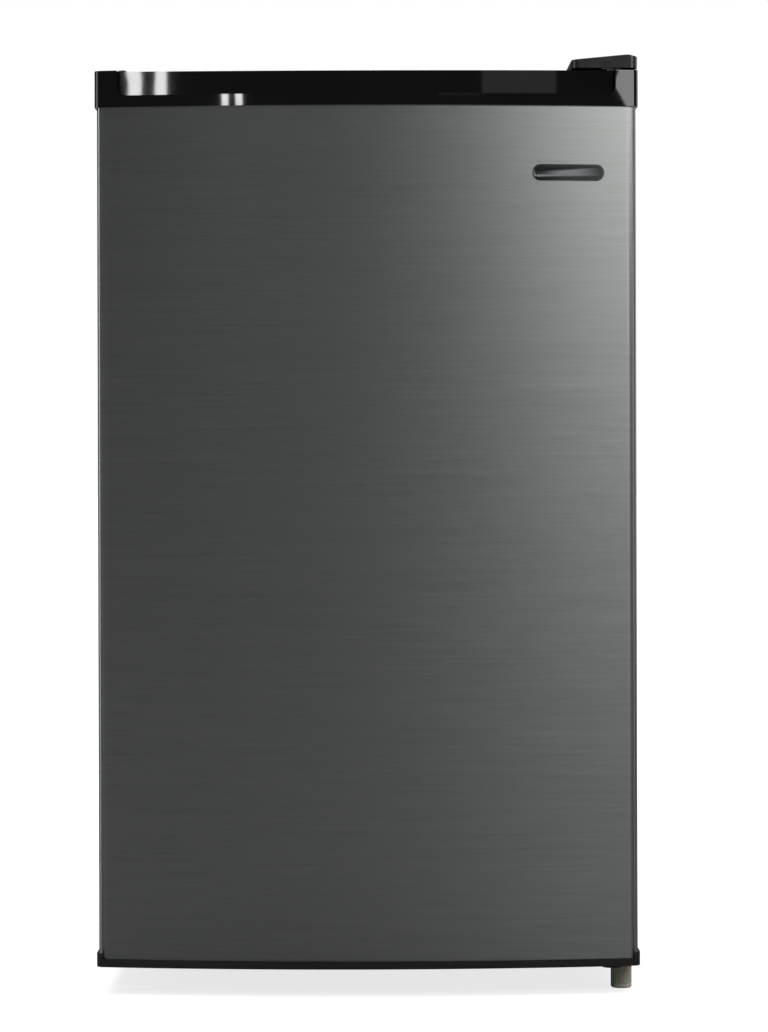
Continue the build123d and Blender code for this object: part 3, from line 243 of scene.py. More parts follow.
# Blank self-adhesive foil: satin silver with a faint roll grain.
foil = finish(
    "satin_silver_foil", "#b4b7b9", "#c6c8c9", 1.0, (0.34, 0.44), 0.004, {"Metallic": 1.0},
    stretch=(12, 12, 1),
)


def galvanised_steel():
    """Hot-dip galvanised sheet: flat zinc crystals a few millimetres across, each its own grey."""
    material, tree, shader, place = new_material("galvanised_steel_sheet")
    scale = 1 / (7 * MM)
    cells = add(tree, "ShaderNodeTexVoronoi", {"Vector": place, "Scale": scale, "Randomness": 1.0})
    grey = add(tree, "ShaderNodeSeparateColor", {"Color": cells.outputs["Color"]}).outputs[0]
    tree.links.new(tint(tree, grey, "#989c9e", "#a5a9ab"), shader.inputs["Base Color"])
    tree.links.new(ramp(tree, grey, 0.42, 0.5, (0, 1)), shader.inputs["Roughness"])
    bump(tree, shader, noise(tree, place, 3.0, 3.0), 0.01)
    set_shader(shader, Metallic=1.0)
    return material


FINISHES = {
    "door_steel": brushed_door(),
    "black_gloss": black_abs,
    "black_plastic": grained_abs,
    "cabinet_paint": paint,
    "white_liner": polystyrene,
    "foam": foam,
    "gasket": gasket_pvc,
    "clear_plastic": clear,
    "shelf_glass": glass,
    "aluminium": aluminium,
    "zinc_steel": zinc,
    "galvanised": galvanised_steel(),
    "black_steel": enamel,
    "copper": copper,
    "nylon": nylon,
    "rubber_black": rubber,
    "chrome_rail": chrome,
}


def finish_cad_nodes():
    """Every CAD node takes the finish of its material slot."""
    for row in frame["record"]["subparts"]:
        node = frame["nodes"][row["node"]]
        node.data.materials.clear()
        node.data.materials.append(FINISHES[row["material_slot"]])
    for name in ("shelf_trims", "freezer_bezel", "freezer_flap", "thermostat_housing"):
        frame["nodes"][name].data.materials[0] = white_moulding


finish_cad_nodes()


# Meshes


def link(name, mesh):
    """An object in the scene that holds a mesh."""
    obj = bpy.data.objects.new(name, mesh)
    bpy.context.scene.collection.objects.link(obj)
    return obj


def smooth(mesh, angle=35.0):
    """Smooth shading, with sharp edges above an angle in degrees."""
    mesh.shade_smooth()
    mesh.set_sharp_from_angle(angle=math.radians(angle))


def mesh_of(name, bm, angle=35.0):
    """A mesh in metres from a bmesh in millimetres, with its faces turned outwards."""
    bmesh.ops.recalc_face_normals(bm, faces=bm.faces)
    mesh = bpy.data.meshes.new(name)
    bm.to_mesh(mesh)
    bm.free()
    mesh.transform(Matrix.Scale(MM, 4))
    smooth(mesh, angle)
    return mesh


def piece(name, mesh, body, slot, material=None, nodes=()):
    """A finished piece: it rides on a body and may stand for CAD nodes."""
    obj = link(name, mesh)
    mesh.materials.clear()
    mesh.materials.append(material or FINISHES[slot])
    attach(obj, body)
    if nodes:
        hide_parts(*nodes)
    return obj


def ring(x, y, z, radius, steps=6):
    """A level loop of points round a rectangle with rounded corners."""
    corners = ((x[1], y[1], 0), (x[0], y[1], 90), (x[0], y[0], 180), (x[1], y[0], 270))
    points = []
    for cx, cy, start in corners:
        middle_x = cx - math.copysign(radius, cx - (x[0] + x[1]) / 2)
        middle_y = cy - math.copysign(radius, cy - (y[0] + y[1]) / 2)
        for i in range(steps + 1):
            angle = math.radians(start + 90 * i / steps)
            point = (middle_x + radius * math.cos(angle), middle_y + radius * math.sin(angle), z)
            points.append(point)
    return points


def disc(radius, z, steps=48, centre=(0, 0)):
    """A level circle of points."""
    angles = [2 * math.pi * i / steps for i in range(steps)]
    return [(centre[0] + radius * math.cos(a), centre[1] + radius * math.sin(a), z) for a in angles]


def loft(loops):
    """Loops of equal length joined in turn, with the first and the last filled."""
    bm = bmesh.new()
    levels = [[bm.verts.new(point) for point in loop] for loop in loops]
    count = len(levels[0])
    for low, high in zip(levels, levels[1:]):
        for i in range(count):
            j = (i + 1) % count
            bm.faces.new((low[i], low[j], high[j], high[i]))
    bm.faces.new(reversed(levels[0]))
    bm.faces.new(levels[-1])
    return bm


def inset(pair, amount):
    """A low and a high value, both moved inwards."""
    return (pair[0] + amount, pair[1] - amount)


def rounded_block(x, y, z, radius):
    """A box with every edge rounded."""
    steps = 3
    loops = []
    for sign, level in ((-1, z[0]), (1, z[1])):
        stops = range(steps + 1) if sign < 0 else range(steps, -1, -1)
        for i in stops:
            angle = math.pi / 2 * i / steps
            side = radius * (1 - math.sin(angle))
            rise = radius * (1 - math.cos(angle))
            # A little of the corner's radius is left at the ends, so that its points stay apart.
            corner = radius - side * 0.98 + 0.01
            loops.append(ring(inset(x, side), inset(y, side), level - sign * rise, corner))
    return loft(loops)


def turned(bm, matrix):
    """A bmesh moved by a matrix."""
    bmesh.ops.transform(bm, matrix=matrix, verts=bm.verts)
    return bm


def at(x, y, z, turn=(0, 0, 0)):
    """A place in millimetres and a turn in degrees, as a matrix."""
    angles = Euler([math.radians(a) for a in turn])
    return Matrix.Translation((x, y, z)) @ angles.to_matrix().to_4x4()


def metres(matrix):
    """A matrix in millimetres as one in metres."""
    moved = matrix.copy()
    moved.translation *= MM
    return moved


def baked(obj):
    """The plain mesh that an object shows. The object goes, with its modifiers."""
    graph = bpy.context.evaluated_depsgraph_get()
    mesh = bpy.data.meshes.new_from_object(obj.evaluated_get(graph), depsgraph=graph)
    bpy.data.objects.remove(obj)
    return mesh


# Geometry Nodes


def tree_of(name, inputs):
    """An empty geometry tree with named inputs, and its group input and output nodes."""
    tree = bpy.data.node_groups.new(name, "GeometryNodeTree")
    tree.interface.new_socket("Geometry", in_out="INPUT", socket_type="NodeSocketGeometry")
    for label, kind in inputs.items():
        tree.interface.new_socket(label, in_out="INPUT", socket_type="NodeSocket" + kind)
    tree.interface.new_socket("Geometry", in_out="OUTPUT", socket_type="NodeSocketGeometry")
    return tree, tree.nodes.new("NodeGroupInput").outputs, tree.nodes.new("NodeGroupOutput").inputs


def close_tree(tree, geometry, material, output):
    """Ends a tree in Realize Instances and Set Material."""
    real = add(tree, "GeometryNodeRealizeInstances", {"Geometry": geometry}).outputs[0]
    painted = add(tree, "GeometryNodeSetMaterial", {"Geometry": real, "Material": material})
    tree.links.new(painted.outputs[0], output[0])


def grown(name, tree, values, start=None, angle=35.0):
    """The plain mesh that a tree makes from its input values, in metres."""
    source = link(name + "_source", start or bpy.data.meshes.new(name + "_start"))
    modifier = source.modifiers.new(name, "NODES")
    modifier.node_group = tree
    for item in tree.interface.items_tree:
        if item.in_out == "INPUT" and item.name in values:
            modifier[item.identifier] = values[item.name]
    mesh = baked(source)
    mesh.name = name
    smooth(mesh, angle)
    return mesh


def copies_tree():
    """Copies of a pattern at every vertex of the start mesh."""
    tree, given, output = tree_of("copies", {"Pattern": "Object", "Material": "Material"})
    pattern = add(tree, "GeometryNodeObjectInfo", {"Object": given["Pattern"]})
    inputs = {"Points": given["Geometry"], "Instance": pattern.outputs["Geometry"]}
    copies = add(tree, "GeometryNodeInstanceOnPoints", inputs)
    close_tree(tree, copies.outputs[0], given["Material"], output)
    return tree


def rows_tree():
    """Copies of a pattern in columns along X and rows along Z, about the origin."""
    names = {"Columns": "Int", "Column Pitch": "Float", "Rows": "Int", "Row Pitch": "Float"}
    names |= {"Pattern": "Object", "Material": "Material"}
    tree, given, output = tree_of("rows", names)
    lines = []
    for count, pitch, axis in (("Columns", "Column Pitch", "X"), ("Rows", "Row Pitch", "Z")):
        step = add(tree, "ShaderNodeCombineXYZ", {axis: given[pitch]}).outputs[0]
        half = maths(tree, "MULTIPLY", maths(tree, "SUBTRACT", given[count], 1.0), -0.5)
        start = add(tree, "ShaderNodeVectorMath", {0: step, "Scale": half}, operation="SCALE")
        inputs = {"Count": given[count], "Start Location": start.outputs[0], "Offset": step}
        lines.append(add(tree, "GeometryNodeMeshLine", inputs).outputs[0])
    inputs = {"Points": lines[0], "Instance": lines[1]}
    grid = add(tree, "GeometryNodeInstanceOnPoints", inputs).outputs[0]
    grid = add(tree, "GeometryNodeRealizeInstances", {"Geometry": grid}).outputs[0]
    pattern = add(tree, "GeometryNodeObjectInfo", {"Object": given["Pattern"]})
    inputs = {"Points": grid, "Instance": pattern.outputs["Geometry"]}
    copies = add(tree, "GeometryNodeInstanceOnPoints", inputs)
    close_tree(tree, copies.outputs[0], given["Material"], output)
    return tree


def ring_tree():
    """Copies of a pattern round Z, each turned to face outwards."""
    names = {"Count": "Int", "Radius": "Float", "Pattern": "Object", "Material": "Material"}
    tree, given, output = tree_of("ring", names)
    inputs = {"Vertices": given["Count"], "Radius": given["Radius"]}
    circle = add(tree, "GeometryNodeMeshCircle", inputs).outputs[0]
    index = add(tree, "GeometryNodeInputIndex").outputs[0]
    angle = maths(tree, "MULTIPLY", index, maths(tree, "DIVIDE", 2 * math.pi, given["Count"]))
    turn = add(tree, "ShaderNodeCombineXYZ", {"Z": angle}).outputs[0]
    pattern = add(tree, "GeometryNodeObjectInfo", {"Object": given["Pattern"]})
    inputs = {"Points": circle, "Instance": pattern.outputs["Geometry"], "Rotation": turn}
    copies = add(tree, "GeometryNodeInstanceOnPoints", inputs)
    close_tree(tree, copies.outputs[0], given["Material"], output)
    return tree


def wrap_outline(tree, given):
    """The bent sheet seen from above: an arc, two sides and two returns."""

    def point(x, y):
        return add(tree, "ShaderNodeCombineXYZ", {"X": x, "Y": y, "Z": given["Base"]}).outputs[0]

    half, edge, back = given["Half Width"], given["Edge"], given["Back"]
    left = maths(tree, "SUBTRACT", 0.0, half)
    inner = maths(tree, "SUBTRACT", half, given["Return"])
    inputs = {"Resolution": 160, "Start": point(left, edge), "Middle": point(0.0, given["Crown"])}
    inputs["End"] = point(half, edge)
    runs = [add(tree, "GeometryNodeCurveArc", inputs, mode="POINTS").outputs[0]]
    for side, turn in ((half, inner), (left, maths(tree, "SUBTRACT", 0.0, inner))):
        stops = (point(side, edge), point(side, back), point(turn, back))
        for start, end in zip(stops, stops[1:]):
            line = add(tree, "GeometryNodeCurvePrimitiveLine", {"Start": start, "End": end})
            runs.append(line.outputs[0])
    join = add(tree, "GeometryNodeJoinGeometry")
    for run in reversed(runs):
        tree.links.new(run, join.inputs[0])
    return join.outputs[0]


def wrap_tree():
    """A bent sheet: a bowed front, two rounded edges, two sides and two narrow returns."""
    names = ("Half Width", "Crown", "Edge", "Back", "Return", "Corner", "Gauge", "Base", "Height")
    kinds = dict.fromkeys(names, "Float") | {"Material": "Material"}
    tree, given, output = tree_of("wrapped_sheet", kinds)
    wire = add(tree, "GeometryNodeCurveToMesh", {"Curve": wrap_outline(tree, given)}).outputs[0]
    wire = add(tree, "GeometryNodeMergeByDistance", {"Geometry": wire, "Distance": 1e-5}).outputs[0]
    curve = add(tree, "GeometryNodeMeshToCurve", {"Mesh": wire}).outputs[0]
    # Only the corners at the sheet's full width are rounded, and no point along the arc.
    position = add(tree, "GeometryNodeInputPosition").outputs[0]
    x = add(tree, "ShaderNodeSeparateXYZ", {0: position}).outputs["X"]
    inputs = {0: maths(tree, "ABSOLUTE", x), 1: maths(tree, "SUBTRACT", given["Half Width"], 1e-4)}
    outer = add(tree, "FunctionNodeCompare", inputs, operation="GREATER_THAN").outputs[0]
    radius = maths(tree, "MULTIPLY", outer, given["Corner"])
    inputs = {"Curve": curve, "Count": 8, "Limit Radius": True, "Radius": radius}
    fillet = add(tree, "GeometryNodeFilletCurve", inputs, mode="POLY")
    line = add(tree, "GeometryNodeCurveToMesh", {"Curve": fillet.outputs[0]}).outputs[0]
    rise = add(tree, "ShaderNodeCombineXYZ", {"Z": given["Height"]}).outputs[0]
    inputs = {"Mesh": line, "Offset": rise}
    wall = add(tree, "GeometryNodeExtrudeMesh", inputs, mode="EDGES").outputs[0]
    inputs = {"Mesh": wall, "Offset Scale": given["Gauge"], "Individual": False}
    thick = add(tree, "GeometryNodeExtrudeMesh", inputs, mode="FACES").outputs[0]
    flipped = add(tree, "GeometryNodeFlipFaces", {"Mesh": wall}).outputs[0]
    shell = add(tree, "GeometryNodeJoinGeometry")
    tree.links.new(thick, shell.inputs[0])
    tree.links.new(flipped, shell.inputs[0])
    inputs = {"Geometry": shell.outputs[0], "Distance": 1e-6}
    whole = add(tree, "GeometryNodeMergeByDistance", inputs)
    close_tree(tree, whole.outputs[0], given["Material"], output)
    return tree


COPIES, ROWS, RING = copies_tree(), rows_tree(), ring_tree()


def pattern_of(name, bm, angle=35.0):
    """A pattern for a tree to copy."""
    return link(name, mesh_of(name, bm, angle))


def repeated(name, bm, tree, values, matrix, angle=35.0):
    """The copies that a tree makes of a pattern, then put in place, in millimetres."""
    pattern = pattern_of(name + "_pattern", bm, angle)
    mesh = grown(name, tree, values | {"Pattern": pattern}, angle=angle)
    bpy.data.objects.remove(pattern)
    mesh.transform(metres(matrix))
    return mesh


def rows(name, bm, columns, column_pitch, lines, row_pitch, matrix, angle=35.0):
    """A mesh of a pattern repeated in columns and rows."""
    values = {"Columns": columns, "Column Pitch": column_pitch * MM}
    values |= {"Rows": lines, "Row Pitch": row_pitch * MM}
    return repeated(name, bm, ROWS, values, matrix, angle)


def around(name, bm, count, radius, matrix):
    """A mesh of a pattern repeated round an axis."""
    return repeated(name, bm, RING, {"Count": count, "Radius": radius * MM}, matrix)


def joined(name, meshes):
    """Several meshes as one."""
    bm = bmesh.new()
    for mesh in meshes:
        bm.from_mesh(mesh)
    merged = bpy.data.meshes.new(name)
    bm.to_mesh(merged)
    bm.free()
    smooth(merged)
    return merged


# What the CAD says


BODIES = frame["record"]["behaviour"]["bodies"]
BODY = {node: body for body, nodes in BODIES.items() for node in nodes}
SLOT = {row["node"]: row["material_slot"] for row in frame["record"]["subparts"]}


def islands(node):
    """The boxes of a CAD node's separate lumps, in millimetres."""
    bm = bmesh.new()
    bm.from_mesh(frame["nodes"][node].data)
    bmesh.ops.transform(bm, matrix=frame["nodes"][node].matrix_world, verts=bm.verts)
    bmesh.ops.remove_doubles(bm, verts=bm.verts, dist=1e-6)
    left, boxes = set(bm.verts), []
    while left:
        stack = [left.pop()]
        group = []
        while stack:
            vert = stack.pop()
            group.append(vert.co / MM)
            for edge in vert.link_edges:
                other = edge.other_vert(vert)
                if other in left:
                    left.remove(other)
                    stack.append(other)
        low = [min(p[i] for p in group) for i in range(3)]
        high = [max(p[i] for p in group) for i in range(3)]
        boxes.append((low, high))
    bm.free()
    return sorted(boxes)


def middle(box):
    """The middle of a box."""
    return [(low + high) / 2 for low, high in zip(*box)]


def door_front(x):
    """Where the door's bowed sheet lies at a distance x from the middle, in millimetres."""
    crown = span("door_skin")[0][1]
    half = span("door_cap_top")[1][0]
    radius = (half**2 + BOW**2) / (2 * BOW)
    return crown + radius - math.sqrt(radius**2 - x**2)


# Door


def door_sheet():
    """The wrapped steel front of the door, bowed over its whole width."""
    low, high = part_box("door_skin")
    gauge, corner = 0.8 * MM, 6.5 * MM
    edge = door_front(high[0] / MM) * MM
    values = {
        "Half Width": high[0] - gauge, "Crown": low[1] + gauge, "Edge": edge + gauge,
        "Back": high[1] - gauge, "Return": 12 * MM - gauge, "Corner": corner - gauge,
        "Gauge": gauge, "Base": low[2], "Height": high[2] - low[2],
        "Material": FINISHES["door_steel"],
    }
    mesh = grown("door_sheet", wrap_tree(), values, angle=50.0)
    piece("door_sheet", mesh, "door", "door_steel", nodes=["door_skin"])


BADGE_X = (144, 206)  # its sides, from the middle of the door
BADGE_DROP = 58  # its middle lies this far below the top of the sheet
BADGE_HALF = 7  # half of its height


def plain_badge():
    """A small blank plate, curved to the door, where such doors carry a name."""
    z = span("door_skin")[1][2] - BADGE_DROP
    sides = (z - BADGE_HALF, z + BADGE_HALF)
    loops = []
    for less, rise in ((0, -0.3), (0, 0.7), (0.5, 1.2), (2.0, 1.2), (2.4, 0.9)):
        flat = ring(inset(BADGE_X, less), inset(sides, less), 0, 6.5 - less, 10)
        loops.append([(x, door_front(x) - rise, level) for x, level, _ in flat])
    mesh = mesh_of("plain_badge", loft(loops))
    piece("plain_badge", mesh, "door", "aluminium", smoked)


def door_seal():
    """The magnetic seal: an extruded bellows and a magnet chamber, mitred at the corners."""
    low, high = span("door_gasket")
    wide, deep = 14.0, 10.7  # the extrusion at its own size; its depth then fits the gap
    right = [(12.0, 0.0), (12.6, 1.2), (10.4, 2.5), (13.2, 3.9), (13.5, 5.0), (11.8, 6.2)]
    right += [(wide, 7.0), (wide, 9.9), (13.3, deep)]
    profile = right + [(wide - u, v) for u, v in reversed(right)]
    bm = bmesh.new()
    loops = []
    for u, v in profile:
        x, y = high[0] - u, low[1] + v / deep * (high[1] - low[1])
        corners = ((x, low[2] + u), (x, high[2] - u), (-x, high[2] - u), (-x, low[2] + u))
        loops.append([bm.verts.new((cx, y, cz)) for cx, cz in corners])
    for a, b in zip(loops, loops[1:] + loops[:1]):
        for i in range(4):
            j = (i + 1) % 4
            bm.faces.new((a[i], a[j], b[j], b[i]))
    piece("door_seal", mesh_of("door_seal", bm, 25), "door", "gasket", nodes=["door_gasket"])


def cross(length, width, z, steps=48):
    """The outline of a cross recess, seen from the axis."""
    points = []
    for i in range(steps):
        angle = 2 * math.pi * i / steps
        c, s = max(abs(math.cos(angle)), 1e-6), max(abs(math.sin(angle)), 1e-6)
        radius = max(min(length / c, width / s), min(width / c, length / s))
        points.append((radius * math.cos(angle), radius * math.sin(angle), z))
    return points


SCREW_HEAD = 2.4  # the height of a screw's head


def cross_screw(length):
    """A pan-head screw with a cross recess, its head on the level 0."""
    shank = ((1.2, -length), (2.1, -length + 1.5), (2.1, -0.01))
    head = ((4.6, 0), (4.6, 0.8), (4.1, 1.7), (3.3, 2.25), (2.7, SCREW_HEAD))
    loops = [disc(radius, level) for radius, level in shank + head]
    return loft(loops + [cross(2.3, 0.6, SCREW_HEAD), cross(1.2, 0.35, 1.1)])


def screws():
    """Every screw, its recess turned up, down or to the back as it is driven."""
    half_way = (LOW[2] + HIGH[2]) / 2 / MM
    tops, bases, backs = [], [], []
    for box in islands("hinge_screws"):
        x, y, z = middle(box)
        if z > half_way:
            tops.append((x, y, box[1][2] - SCREW_HEAD))
        else:
            bases.append((x, y, box[0][2] + SCREW_HEAD))
    for box in islands("panel_screws"):
        x, _, z = middle(box)
        backs.append((x, box[1][1] - SCREW_HEAD, z))
    sets = (
        ("screw_up", tops, (0, 0, 0), "hinge"),
        ("screw_down", bases, (180, 0, 0), "hinge"),
        ("screw_back", backs, (-90, 0, 0), "panel"),
    )
    made = {"hinge": [], "panel": []}
    for name, places, turn, owner in sets:
        pattern = pattern_of(name, turned(cross_screw(9.0), at(0, 0, 0, turn)), 30)
        start = bpy.data.meshes.new(name + "_places")
        start.from_pydata([Vector(place) * MM for place in places], [], [])
        made[owner].append(grown(name + "s", COPIES, {"Pattern": pattern}, start, 30))
        bpy.data.objects.remove(pattern)
    for owner, meshes in made.items():
        node = owner + "_screws"
        mesh = joined(owner + "_cross_screws", meshes)
        piece(owner + "_cross_screws", mesh, BODY[node], SLOT[node], nodes=[node])


def bin_loops(x, y, z, flange=1.6, wall=2.2):
    """A moulded open bin: a rounded floor, drafted sides and a rolled rim."""
    low, high = z
    outer = ((flange + 6, 0, 5), (flange + 2.6, 1.0, 7), (flange + 1.2, 3.6, 8))
    loops = [ring(inset(x, i), inset(y, i), low + up, r) for i, up, r in outer]
    rim = ((flange, -5.5, 9), (flange, -4.4, 9), (0.4, -3.9, 10), (0, -3.2, 10), (0, -0.8, 10))
    rim += ((0.8, 0, 9.4), (flange + wall - 0.6, 0, 8), (flange + wall, -0.7, 7.6))
    loops += [ring(inset(x, i), inset(y, i), high + up, r) for i, up, r in rim]
    side = flange + wall
    inner = ((side + 1.2, 5.4, 6), (side + 2.4, 3.2, 5), (side + 5, wall, 4))
    return loops + [ring(inset(x, i), inset(y, i), low + up, r) for i, up, r in inner]


def rib_rows(name, count, pitch, size, depth, place, lines=1, line_pitch=1.0):
    """Rows of soft-edged ribs, each size wide and tall, on a face that looks along Y."""
    wide, tall = size
    radius = min(wide, tall, 2 * depth) * 0.45
    rib = rounded_block((-wide / 2, wide / 2), (-depth, depth), (-tall / 2, tall / 2), radius)
    return rows(name, rib, count, pitch, lines, line_pitch, place)


def door_bins():
    """Three bins with fluted fronts."""
    for level in ("upper", "middle", "lower"):
        node = "door_bin_" + level
        low, high = span(node)
        x, y, z = zip(low, high)
        shell = mesh_of(node + "_shell", loft(bin_loops(x, y, z)))
        tall = z[1] - z[0] - 18
        place = at(0, y[1] - 1.5, (z[0] + z[1]) / 2 - 1)
        ribs = rib_rows(node + "_ribs", 23, 13.5, (3.0, tall), 0.9, place)
        mesh = joined(node + "_moulded", [shell, ribs])
        piece(node + "_moulded", mesh, "door", SLOT[node], nodes=[node])


def vegetable_drawer():
    """The drawer: a deep moulded bin with a finger grip and level flutes on its front."""
    node = "crisper_drawer"
    low, high = span(node)
    x, z = (low[0], high[0]), (low[2], high[2])
    y = (low[1] + 5, high[1])
    shell = mesh_of("drawer_shell", loft(bin_loops(x, y, z)))
    grip = rounded_block((-75, 75), (low[1] + 0.3, y[0] + 3), (z[1] - 24, z[1] - 10), 3.2)
    place = at(0, y[0] + 1.7, (z[0] + z[1]) / 2 - 14)
    flutes = rib_rows("drawer_flutes", 1, 1, (290, 3.0), 0.9, place, 6, 11.0)
    mesh = joined("vegetable_drawer", [shell, mesh_of("drawer_grip", grip), flutes])
    piece("vegetable_drawer", mesh, BODY[node], SLOT[node], nodes=[node])


def tube_mesh(name, points, radius, steps=6):
    """A round tube through points, closed at both ends, in millimetres."""
    data = bpy.data.curves.new(name, "CURVE")
    data.dimensions = "3D"
    data.bevel_depth, data.bevel_resolution, data.use_fill_caps = radius * MM, steps, True
    spline = data.splines.new("POLY")
    spline.points.add(len(points) - 1)
    for target, point in zip(spline.points, points):
        target.co = (*(Vector(point) * MM), 1.0)
    mesh = baked(link(name, data))
    smooth(mesh)
    return mesh


def serpentine(x, y, z, passes):
    """A level path that runs back and forth across x, with round turns."""
    pitch = (y[1] - y[0]) / (passes - 1)
    radius = pitch / 2
    steps = 12  # straight pieces in a turn
    points = []
    for i in range(passes):
        way = 1 if i % 2 == 0 else -1
        line = y[0] + i * pitch
        ends = (x[0] + radius, x[1] - radius) if way > 0 else (x[1] - radius, x[0] + radius)
        points += [(ends[0], line, z), (ends[1], line, z)]
        if i < passes - 1:
            for step in range(1, steps):
                angle = math.pi * step / steps
                away = way * radius * math.sin(angle)
                points.append((ends[1] + away, line + radius * (1 - math.cos(angle)), z))
    return points


def evaporator_channels():
    """The refrigerant channel, blown up between the two sheets of the freezer box."""
    low, high = span("evaporator")
    mouth = span("freezer_bezel")[1][1]
    x, y = inset((low[0], high[0]), 16), (mouth + 18, high[1] - 22)
    sides = (("channel_floor", 2.0, 2.6), ("channel_under", 0.2, 2.2))
    meshes = [tube_mesh(n, serpentine(x, y, low[2] + up, 8), r, 4) for n, up, r in sides]
    mesh = joined("evaporator_channels", meshes)
    piece("evaporator_channels", mesh, BODY["evaporator"], "aluminium")


def liner_ribs():
    """Ribs formed in the back wall of the lining, and the drain's cup on the step."""
    wall = span("inner_liner")[1][1] - 2
    shelf = span("glass_shelf_lower")[0][2]
    tray = span("drip_tray")[0][2]
    place = at(0, wall, (tray + shelf) / 2 - 6)
    ribs = rib_rows("liner_back_ribs", 9, 38, (9, tray - shelf - 40), 1.6, place)
    x, y, _ = middle(islands("drain_tube")[0])
    step = span("crisper_cover")[0][2] + 12  # the step's top, above the underside of the cover
    profile = ((11, -1), (11, 1.0), (10.2, 1.8), (7.0, 1.8), (5.0, -0.2))
    cup = loft([disc(radius, step + up, centre=(x, y)) for radius, up in profile])
    mesh = joined("liner_ribs", [ribs, mesh_of("drain_cup", cup)])
    piece("liner_ribs", mesh, BODY["inner_liner"], "white_liner")


def facing_left(x, y, z):
    """A frame on the right-hand wall: its X runs forward, its Y up, and its Z into the room."""
    turn = Matrix(((0, 0, -1), (-1, 0, 0), (0, 1, 0))).to_4x4()
    return Matrix.Translation((x, y, z)) @ turn


def dial_frame():
    """The dial's frame on the housing's face, its radius and how far it stands out."""
    low, high = span("thermostat_dial")
    face = span("thermostat_housing")[0][0]
    axis = facing_left(face, (low[1] + high[1]) / 2, (low[2] + high[2]) / 2)
    return axis, (high[2] - low[2]) / 2, face - low[0]


def dial():
    """A fluted knob and its pointer."""
    axis, radius, tall = dial_frame()
    profile = ((0.8, 0.3), (0.8, 2.0), (2.2, 2.6), (2.8, tall - 1.4), (3.6, tall - 0.4))
    profile += ((5, tall), (7, tall), (7.6, tall - 0.8))
    knob = loft([disc(radius - less, level) for less, level in profile])
    flute = rounded_block((-1.4, 1.1), (-1.1, 1.1), (2.0, tall - 1.0), 0.9)
    flutes = around("flutes", flute, 20, radius - 2.6, axis)
    mesh = joined("dial_knob", [mesh_of("knob", turned(knob, axis)), flutes])
    pointer = rounded_block((-0.9, 0.9), (2, radius - 4.6), (tall - 0.9, tall + 0.3), 0.4)
    mark = mesh_of("pointer", turned(pointer, axis))
    node = "thermostat_dial"
    piece("dial_knob", mesh, BODY[node], SLOT[node], white_moulding, [node])
    piece("dial_pointer", mark, BODY[node], "black_plastic", ink)


def numeral(number, place):
    """A slightly raised figure in a frame given in millimetres."""
    letter = bpy.data.curves.new("numeral", "FONT")
    letter.body = str(number)
    letter.size, letter.extrude = 6.4, 0.12
    letter.align_x = letter.align_y = "CENTER"
    mesh = baked(link("numeral", letter))
    mesh.transform(metres(place) @ Matrix.Scale(MM, 4))
    return mesh


def dial_scale():
    """Seven ticks round the dial, with the numerals 1 to 7."""
    axis, radius, _ = dial_frame()
    reach = radius + 9
    marks = []
    for i in range(7):
        angle = math.radians(225 - 45 * i)  # 270 degrees from the first to the last
        tick = rounded_block((radius + 1.6, radius + 4.4), (-0.4, 0.4), (-0.2, 0.15), 0.12)
        marks.append(mesh_of("tick", turned(tick, axis @ Matrix.Rotation(angle, 4, "Z"))))
        spot = Matrix.Translation((reach * math.cos(angle), reach * math.sin(angle), 0))
        marks.append(numeral(i + 1, axis @ spot))
    body = BODY["thermostat_housing"]
    piece("dial_scale", joined("dial_scale", marks), body, "black_plastic", ink)


def housing_vents():
    """A row of vent slots at the foot of the housing."""
    low = span("thermostat_housing")[0]
    y = middle(span("thermostat_dial"))[1]
    slot = rounded_block((-1.1, 1.1), (-0.6, 0.6), (-4.5, 4.5), 0.5)
    place = at(low[0] - 0.1, y, low[2] + 9, (0, 0, 90))
    mesh = rows("housing_vents", slot, 11, 6.0, 1, 1.0, place)
    piece("housing_vents", mesh, BODY["thermostat_housing"], "black_plastic", ink)


def front_foot(side):
    """A levelling foot: a ribbed nylon barrel on a threaded stud."""
    node = "front_foot_" + side
    low, high = span(node)
    x, y, _ = middle((low, high))
    radius = (high[0] - low[0]) / 2
    tall = 19.5  # the barrel's height; the stud stands above it
    pitch = 0.7  # the stud's thread
    profile = ((1.2, 0), (0.2, 0.8), (0, 2.0), (0, 3.2), (0.9, 3.8), (0.9, tall - 4.0))
    profile += ((0, tall - 3.4), (0, tall - 0.8), (0.8, tall))
    loops = [disc(radius - less, level) for less, level in profile] + [disc(4.0, tall)]
    for i in range(int((high[2] - tall) / pitch)):
        level = tall + pitch / 2 + i * pitch
        loops += [disc(3.5, level - 0.15), disc(3.95, level + 0.2)]
    loops.append(disc(3.4, high[2]))
    meshes = [mesh_of(node + "_barrel", turned(loft(loops), at(x, y, 0)))]
    rib = rounded_block((-0.8, 0.45), (-0.6, 0.6), (3.4, tall - 3.6), 0.4)
    meshes.append(around(node + "_ribs", rib, 24, radius - 0.5, at(x, y, 0)))
    mesh = joined(node + "_ribbed", meshes)
    piece(node + "_ribbed", mesh, BODY[node], SLOT[node], nodes=[node])


